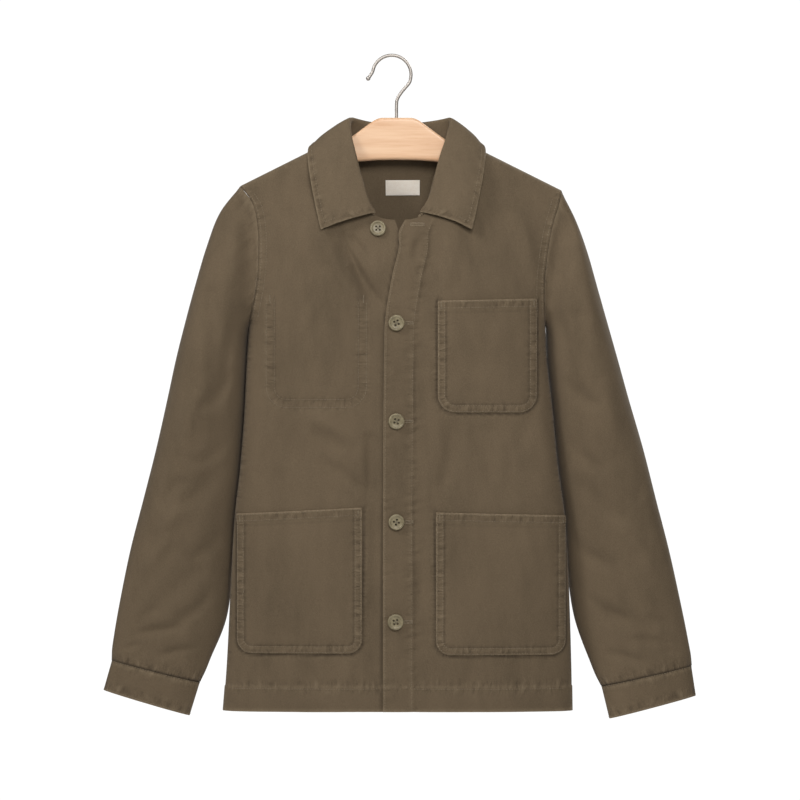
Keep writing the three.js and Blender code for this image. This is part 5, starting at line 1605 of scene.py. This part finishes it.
def build_hanger(material):
    """Board made of upright rings, each round its front and back at one distance along it."""
    half = BOARD_TOP[-1][0]
    out = np.linspace(-half, half, BOARD_COLUMNS)
    top, bottom = board_edge(BOARD_TOP, out), board_edge(BOARD_BOTTOM, out)
    edge = np.minimum(BOARD_BEVEL, (top - bottom) / 2 - 0.5)[:, None]
    angles = math.pi / 2 * np.arange(BEVEL_STEPS + 1) / BEVEL_STEPS
    forward = BOARD_THICK / 2 - BOARD_BEVEL + BOARD_BEVEL * np.sin(angles)
    drop = edge * (1 - np.cos(angles))
    middle = lerp((top[:, None] - edge), (bottom[:, None] + edge), np.linspace(0, 1, BOARD_ROWS)[1:-1])
    front_z = np.concatenate([top[:, None] - drop, middle, (bottom[:, None] + drop)[:, ::-1]], 1)
    front_y = np.concatenate([forward, np.full(BOARD_ROWS - 2, BOARD_THICK / 2), forward[::-1]])
    z = np.concatenate([front_z, front_z[:, ::-1]], 1)
    y = np.broadcast_to(np.concatenate([-front_y, front_y[::-1]]), z.shape)
    x = np.broadcast_to(out[:, None], z.shape)
    rings, around = z.shape
    points = np.stack([x, y, z], -1).reshape(-1, 3)
    faces = grid_faces(rings, around, 0, around=True, turned=True).tolist()
    faces.append(list(range(around))[::-1])
    faces.append(list(range(len(points) - around, len(points))))
    piece = add_piece("hanger_board", points, faces, material, 40)
    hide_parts("hanger")


def build_hook(material):
    centre_z = WIRE_RADIUS - HOOK_RADIUS
    turns = np.radians(np.linspace(*HOOK_TURN, HOOK_ARC_STEPS + 1))
    arc = zip(HOOK_RADIUS * np.cos(turns) - CENTRE_X, centre_z + HOOK_RADIUS * np.sin(turns))
    path = np.array([(x, 0, z) for x, z in (*HOOK_FOOT, *arc, *HOOK_TAIL)], float)
    line = catmull(path, [HOOK_CURVE_STEPS] * (len(path) - 1))
    way = unit(np.gradient(line, axis=0))
    # The ball on the end, as rings past the last point. It takes the place of the last three.
    polar = np.linspace(HOOK_BALL_START, math.pi / 2, HOOK_BALL_RINGS)[:-1]
    ball = line[-1] + way[-1] * (HOOK_BALL_RADIUS * np.sin(polar))[:, None]
    radii = np.concatenate([np.full(len(line) - 3, float(WIRE_RADIUS)), HOOK_BALL_RADIUS * np.cos(polar)])
    way = np.concatenate([way[:-3], np.tile(way[-1], (len(polar), 1))])
    line = np.concatenate([line[:-3], ball])
    aside = np.cross(way, (0, 1, 0))
    turn = 2 * math.pi * np.arange(WIRE_SIDES) / WIRE_SIDES
    spread = (np.array([0, 1, 0])[None, None] * np.sin(turn)[None, :, None]
              + aside[:, None] * np.cos(turn)[None, :, None])
    points = (line[:, None] + spread * radii[:, None, None]).reshape(-1, 3)
    faces = grid_faces(len(line), WIRE_SIDES, 0, around=True).tolist()
    faces += [list(range(WIRE_SIDES))[::-1], list(range(len(points) - WIRE_SIDES, len(points)))]
    piece = add_piece("hook_wire", points, faces, material, 60)
    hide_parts("hook")


# Materials


class Nodes:
    """Short calls for building one material's node graph."""

    def __init__(self, name, **shader):
        self.material = bpy.data.materials.new(name)
        self.material.use_nodes = True
        self.tree = self.material.node_tree
        self.shader = self.tree.nodes["Principled BSDF"]
        for socket, value in shader.items():
            self.shader.inputs[socket.replace("_", " ")].default_value = value

    def node(self, kind, inputs=None, **settings):
        made = self.tree.nodes.new(kind)
        for key, value in settings.items():
            setattr(made, key, value)
        for socket, value in (inputs or {}).items():
            if isinstance(value, bpy.types.NodeSocket):
                self.tree.links.new(value, made.inputs[socket])
            else:
                made.inputs[socket].default_value = value
        return made

    def math(self, operation, first, second=0.0, third=0.0):
        return self.node("ShaderNodeMath", {0: first, 1: second, 2: third}, operation=operation).outputs[0]

    def place(self):
        """Places in the part's own frame, in metres."""
        return self.node("ShaderNodeTexCoord").outputs["Object"]

    def attribute(self, name, output="Vector"):
        return self.node("ShaderNodeAttribute", attribute_name=name).outputs[output]

    def stretched(self, vector, scale):
        return self.node("ShaderNodeMapping", {"Vector": vector, "Scale": scale}).outputs["Vector"]

    def noise(self, vector, scale, detail=3.0, roughness=0.55):
        inputs = {"Vector": vector, "Scale": scale, "Detail": detail, "Roughness": roughness}
        return self.node("ShaderNodeTexNoise", inputs).outputs["Fac"]

    def range(self, value, low, high, to_low=0.0, to_high=1.0):
        inputs = {"Value": value, "From Min": low, "From Max": high, "To Min": to_low, "To Max": to_high}
        return self.node("ShaderNodeMapRange", inputs).outputs["Result"]

    def product(self, first, second):
        return self.math("MULTIPLY", first, second)

    def mix(self, share, first, second):
        return self.node("ShaderNodeMix", {0: share, 6: first, 7: second}, data_type="RGBA").outputs[2]

    def tinted(self, colour, tint, value, low, high, most=1.0):
        """A colour that turns to a tint, by most at most, as a value goes from low to high."""
        return self.mix(self.range(value, low, high, 0.0, most), colour, tint)

    def wave(self, vector, direction, period):
        """Sine bands across a direction, from 0 to 1, a period in metres apart."""
        along = self.node("ShaderNodeVectorMath", {0: vector, 1: direction}, operation="DOT_PRODUCT")
        turned = self.math("MULTIPLY", along.outputs["Value"], 2 * math.pi / period)
        return self.math("MULTIPLY_ADD", self.math("SINE", turned), 0.5, 0.5)

    def bump(self, height, distance, strength=1.0, normal=None):
        made = self.node("ShaderNodeBump", {"Height": height, "Distance": distance, "Strength": strength})
        if normal is not None:
            self.tree.links.new(normal, made.inputs["Normal"])
        return made.outputs["Normal"]

    def link(self, output, socket):
        self.tree.links.new(output, self.shader.inputs[socket])


def rgb(red, green, blue):
    """Linear colour from display values out of 255."""
    return (*[((value / 255 + 0.055) / 1.055) ** 2.4 for value in (red, green, blue)], 1)


CLOTH_DARK = rgb(72, 60, 44)
CLOTH_MAIN = rgb(84, 70, 53)
CLOTH_PALE = rgb(97, 82, 63)
CLOTH_WORN = rgb(137, 121, 98)
CLOTH_SHADE = rgb(62, 51, 40)
# Painted shade: darkens ruck troughs and the lines beside seams and edges where the wear values are below
# zero
CLOTH_PAINTED_SHADE = rgb(40, 32, 24)
BUTTON_DARK, BUTTON_PALE, BUTTON_SPECK = rgb(108, 98, 75), rgb(142, 131, 104), rgb(86, 78, 60)
LABEL_DARK, LABEL_PALE, LABEL_SHADE = rgb(250, 238, 222), rgb(255, 247, 234), rgb(176, 163, 147)
WOOD_DARK, WOOD_PALE, WOOD_PORE = rgb(212, 164, 124), rgb(234, 196, 160), rgb(204, 148, 104)
METAL_DARK, METAL_PALE = rgb(178, 171, 164), rgb(192, 185, 178)
FLOOR_DARK, FLOOR_PALE = rgb(236, 235, 233), rgb(242, 241, 239)
# Threads: pale and dark colour
SEAM_THREAD = (rgb(140, 124, 100), rgb(104, 91, 71))
BUTTON_THREAD_COLOURS = (rgb(128, 119, 98), rgb(104, 96, 78))
# Rucks: pitch along the seam and length across it in millimetres, height in metres
RUCK_PITCH, RUCK_LONG, RUCK_HIGH = 7, 22, 0.0011
# Twill: directions on the flat cloth and pitches in metres, of the ribs and of single threads
TWILL_WAY, TWILL_PITCH = (0.6, 0, 0.8), 0.0012
THREAD_WAY, THREAD_PITCH = (-0.8, 0, 0.6), 0.0006
# How much less the mottling of the cloth changes up and down than across
CLOTH_DRAWN = (1, 1, 0.4)
# Scales of the noises in a metre
BROAD, PATCHY, CREASED, FUZZY, GRAINY = 17, 70, 70, 260, 900


def weave_of(nodes):
    """Diagonal ribs of the twill, broken up into single threads."""
    flat = nodes.attribute("flat")
    rib, cross = nodes.wave(flat, TWILL_WAY, TWILL_PITCH), nodes.wave(flat, THREAD_WAY, THREAD_PITCH)
    return nodes.product(rib, nodes.math("MULTIPLY_ADD", cross, 0.4, 0.6))


def rucks_of(nodes):
    """Rucks drawn up by stitching: short bars across the seam, from -1 to 1."""
    ruck = nodes.node("ShaderNodeSeparateXYZ", {0: nodes.attribute("ruck")})
    along, aside, strength = ruck.outputs
    bar = {0: nodes.product(along, 1 / RUCK_PITCH), 1: nodes.product(aside, 1 / RUCK_LONG)}
    bars = nodes.noise(nodes.node("ShaderNodeCombineXYZ", bar).outputs[0], 1, 2, 0.5)
    return nodes.product(nodes.range(bars, 0.3, 0.7, -1.0, 1.0), strength)


def cloth_material():
    nodes = Nodes("cloth_twill", Roughness=0.88, Specular_IOR_Level=0.2, Sheen_Weight=0.06,
                  Sheen_Roughness=0.45)
    place, wear = nodes.place(), nodes.attribute("wear", "Fac")
    drawn_out = nodes.stretched(place, CLOTH_DRAWN)
    grain = nodes.noise(place, GRAINY, 2, 0.7)
    weave, raised = weave_of(nodes), rucks_of(nodes)
    colour = nodes.tinted(CLOTH_DARK, CLOTH_PALE, nodes.noise(drawn_out, BROAD, 3), 0.3, 0.7)
    colour = nodes.mix(0.25, colour, CLOTH_MAIN)
    colour = nodes.tinted(colour, CLOTH_PALE, nodes.noise(drawn_out, PATCHY, 4, 0.6), 0.35, 0.7, 0.5)
    shade = nodes.math("ADD", nodes.product(weave, 0.5), nodes.product(grain, 0.9))
    colour = nodes.tinted(colour, CLOTH_WORN, shade, 0.2, 1.0, 0.34)
    colour = nodes.tinted(colour, CLOTH_SHADE, shade, 0.75, 0.25, 0.3)
    # Ruck ridges turn paler as worn; ruck troughs are darkened with painted shade
    colour = nodes.tinted(colour, CLOTH_WORN, raised, 0.15, 0.9, 0.3)
    colour = nodes.tinted(colour, CLOTH_PAINTED_SHADE, raised, -0.15, -0.9, 0.35)
    fuzz = nodes.range(nodes.noise(place, FUZZY, 3, 0.7), 0.35, 0.65, 0.45, 1.0)
    rubbed = nodes.product(nodes.math("MAXIMUM", wear, 0), fuzz)
    colour = nodes.mix(nodes.product(rubbed, 0.75), colour, CLOTH_WORN)
    # Where the wear values are below zero the cloth is darkened: painted shade beside seams and edges
    nodes.link(nodes.tinted(colour, CLOTH_PAINTED_SHADE, wear, 0, -1, 0.8), "Base Color")
    normal = nodes.bump(nodes.noise(place, CREASED, 4, 0.6), 0.0012, 0.35)
    normal = nodes.bump(raised, RUCK_HIGH, 1.0, normal)
    height = nodes.math("ADD", nodes.product(weave, 0.6), nodes.product(grain, 0.8))
    nodes.link(nodes.bump(height, 0.00022, 0.6, normal), "Normal")
    return nodes.material


def thread_material(name, pale, dark):
    nodes = Nodes(name, Roughness=0.7, Specular_IOR_Level=0.3, Sheen_Weight=0.15)
    place = nodes.place()
    fibre = nodes.noise(place, 1800, 2, 0.6)
    nodes.link(nodes.tinted(dark, pale, fibre, 0.3, 0.7), "Base Color")
    twist = nodes.wave(place, (0.5, 0.3, 0.8), 0.0005)
    nodes.link(nodes.bump(twist, 0.0001, 0.7), "Normal")
    return nodes.material


def button_material():
    nodes = Nodes("button_resin", Roughness=0.42, Specular_IOR_Level=0.35)
    place = nodes.place()
    colour = nodes.tinted(BUTTON_DARK, BUTTON_PALE, nodes.noise(place, 160, 4, 0.6), 0.3, 0.7)
    speck = nodes.noise(place, GRAINY, 2, 0.5)
    nodes.link(nodes.tinted(colour, BUTTON_SPECK, speck, 0.6, 0.75, 0.4), "Base Color")
    nodes.link(nodes.bump(nodes.noise(place, 500, 3), 0.00008, 0.5), "Normal")
    return nodes.material


def label_material():
    nodes = Nodes("label_weave", Roughness=0.8, Specular_IOR_Level=0.25, Sheen_Weight=0.1)
    flat = nodes.attribute("flat")
    weave = nodes.product(nodes.wave(flat, (0, 0, 1), 0.0006), nodes.wave(flat, (1, 0, 0), 0.0009))
    colour = nodes.tinted(LABEL_DARK, LABEL_PALE, nodes.noise(flat, 160, 3), 0.3, 0.7)
    nodes.link(nodes.tinted(colour, LABEL_SHADE, weave, 0.5, 0.0, 0.35), "Base Color")
    nodes.link(nodes.bump(weave, 0.00015, 0.8), "Normal")
    return nodes.material


def wood_material():
    nodes = Nodes("hanger_wood", Roughness=0.42, Specular_IOR_Level=0.4, Coat_Weight=0.25,
                  Coat_Roughness=0.25)
    place = nodes.place()
    broad = nodes.noise(nodes.stretched(place, (5, 60, 60)), 1.2, 4, 0.6)
    pores = nodes.noise(nodes.stretched(place, (26, 520, 520)), 1, 3, 0.6)
    colour = nodes.tinted(WOOD_DARK, WOOD_PALE, broad, 0.3, 0.7)
    nodes.link(nodes.tinted(colour, WOOD_PORE, pores, 0.55, 0.75, 0.4), "Base Color")
    nodes.link(nodes.bump(pores, 0.0001, 0.25), "Normal")
    return nodes.material


def wire_material():
    nodes = Nodes("hook_metal", Metallic=1.0, Roughness=0.5)
    place = nodes.place()
    dull = nodes.noise(place, 240, 3)
    nodes.link(nodes.tinted(METAL_DARK, METAL_PALE, dull, 0.3, 0.7), "Base Color")
    nodes.link(nodes.range(dull, 0.3, 0.7, 0.48, 0.56), "Roughness")
    return nodes.material


# Making

# Camera: place in millimetres, distance in metres, plane in focus, sensor in millimetres and the
# width in metres that it frames at that distance
CAMERA_X, CAMERA_Z = 10.4, -430.9
CAMERA_FAR = 5.0
FOCUS_Y = -25
SENSOR = 36
FRAME_WIDE = 1.0


def make_camera():
    data = bpy.data.cameras.new("camera")
    data.sensor_width = SENSOR
    data.lens = SENSOR * CAMERA_FAR / FRAME_WIDE
    camera = bpy.data.objects.new("camera", data)
    camera.location = (CAMERA_X * MM, FOCUS_Y * MM - CAMERA_FAR, CAMERA_Z * MM)
    camera.rotation_euler = (math.pi / 2, 0, 0)
    bpy.context.scene.collection.objects.link(camera)
    bpy.context.scene.camera = camera


# Lights: place, size and power, each turned to the jacket's middle
LIGHTS = (
    ("key", (-1.95, -1.2, 1.3), 0.8, 32),
    ("fill", (0.25, -2.1, 0.8), 1.0, 37),
    ("behind_key", (1.6, 1.7, 1.2), 1.0, 42),
    ("behind_fill", (-0.8, 2.9, -0.1), 1.6, 30),
    ("above", (0, -0.6, 2.0), 1.6, 5),
)
WHITE = (1, 1, 1, 1)
AMBIENT = 0.17
BACKDROP = 1.05
FLOOR_Z = -1.3
FLOOR_HALF = 2.2


def make_light():
    middle = Vector((0, 0, CAMERA_Z * MM))
    for name, place, size, power in LIGHTS:
        data = bpy.data.lights.new(name, "AREA")
        data.shape, data.size, data.energy = "DISK", size, power
        light = bpy.data.objects.new(name, data)
        light.location = place
        light.rotation_euler = (middle - Vector(place)).to_track_quat("-Z", "Y").to_euler()
        bpy.context.scene.collection.objects.link(light)
    world = bpy.data.worlds.new("studio")
    bpy.context.scene.world = world
    world.use_nodes = True
    tree = world.node_tree
    light_sky, seen_sky = tree.nodes["Background"], tree.nodes.new("ShaderNodeBackground")
    for sky, strength in ((light_sky, AMBIENT), (seen_sky, BACKDROP)):
        sky.inputs["Color"].default_value = WHITE
        sky.inputs["Strength"].default_value = strength
    ray = tree.nodes.new("ShaderNodeLightPath")
    mix = tree.nodes.new("ShaderNodeMixShader")
    tree.links.new(ray.outputs["Is Camera Ray"], mix.inputs[0])
    tree.links.new(light_sky.outputs[0], mix.inputs[1])
    tree.links.new(seen_sky.outputs[0], mix.inputs[2])
    tree.links.new(mix.outputs[0], tree.nodes["World Output"].inputs["Surface"])


def make_floor():
    nodes = Nodes("pale_floor", Roughness=0.9)
    nodes.link(nodes.mix(nodes.noise(nodes.place(), 3, 3), FLOOR_DARK, FLOOR_PALE), "Base Color")
    corners = [(x * FLOOR_HALF, y * FLOOR_HALF, FLOOR_Z) for x, y in ((-1, -1), (1, -1), (1, 1), (-1, 1))]
    floor = add_bare("floor", corners, [(0, 1, 2, 3)])
    floor.data.materials.append(nodes.material)


def declare(piece, node):
    """Hides the solid that a cloth piece stands for."""
    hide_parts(node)


make_camera()
make_light()
make_floor()
bpy.context.scene.view_settings.view_transform = "Standard"

cloth = cloth_material()
seam_thread = thread_material("thread_olive", *SEAM_THREAD)
button_thread = thread_material("thread_button", *BUTTON_THREAD_COLOURS)
for stitch in (stitch_body, stitch_patches, stitch_collar, stitch_cuffs):
    stitch(seam_thread)

back = build_back(cloth)
fronts = {side: build_front(side, cloth) for side in SIDES}
declare(back, "back")
for side, front in fronts.items():
    node = f"front_{side}"
    declare(front, node)
for side, front in fronts.items():
    sleeve, cuff = build_sleeve(side, cloth), build_cuff(side, cloth)
    declare(sleeve, f"sleeve_{side}")
    declare(cuff, f"cuff_{side}")
declare(build_collar(cloth), "collar")
for name, patch in POCKETS.items():
    declare(build_patch(name, patch, cloth), name)
declare(build_inner_pocket(cloth), "inner_pocket")
declare(build_label(label_material()), "neck_label")
build_buttons(button_material(), button_thread)
build_hanger(wood_material())
build_hook(wire_material())
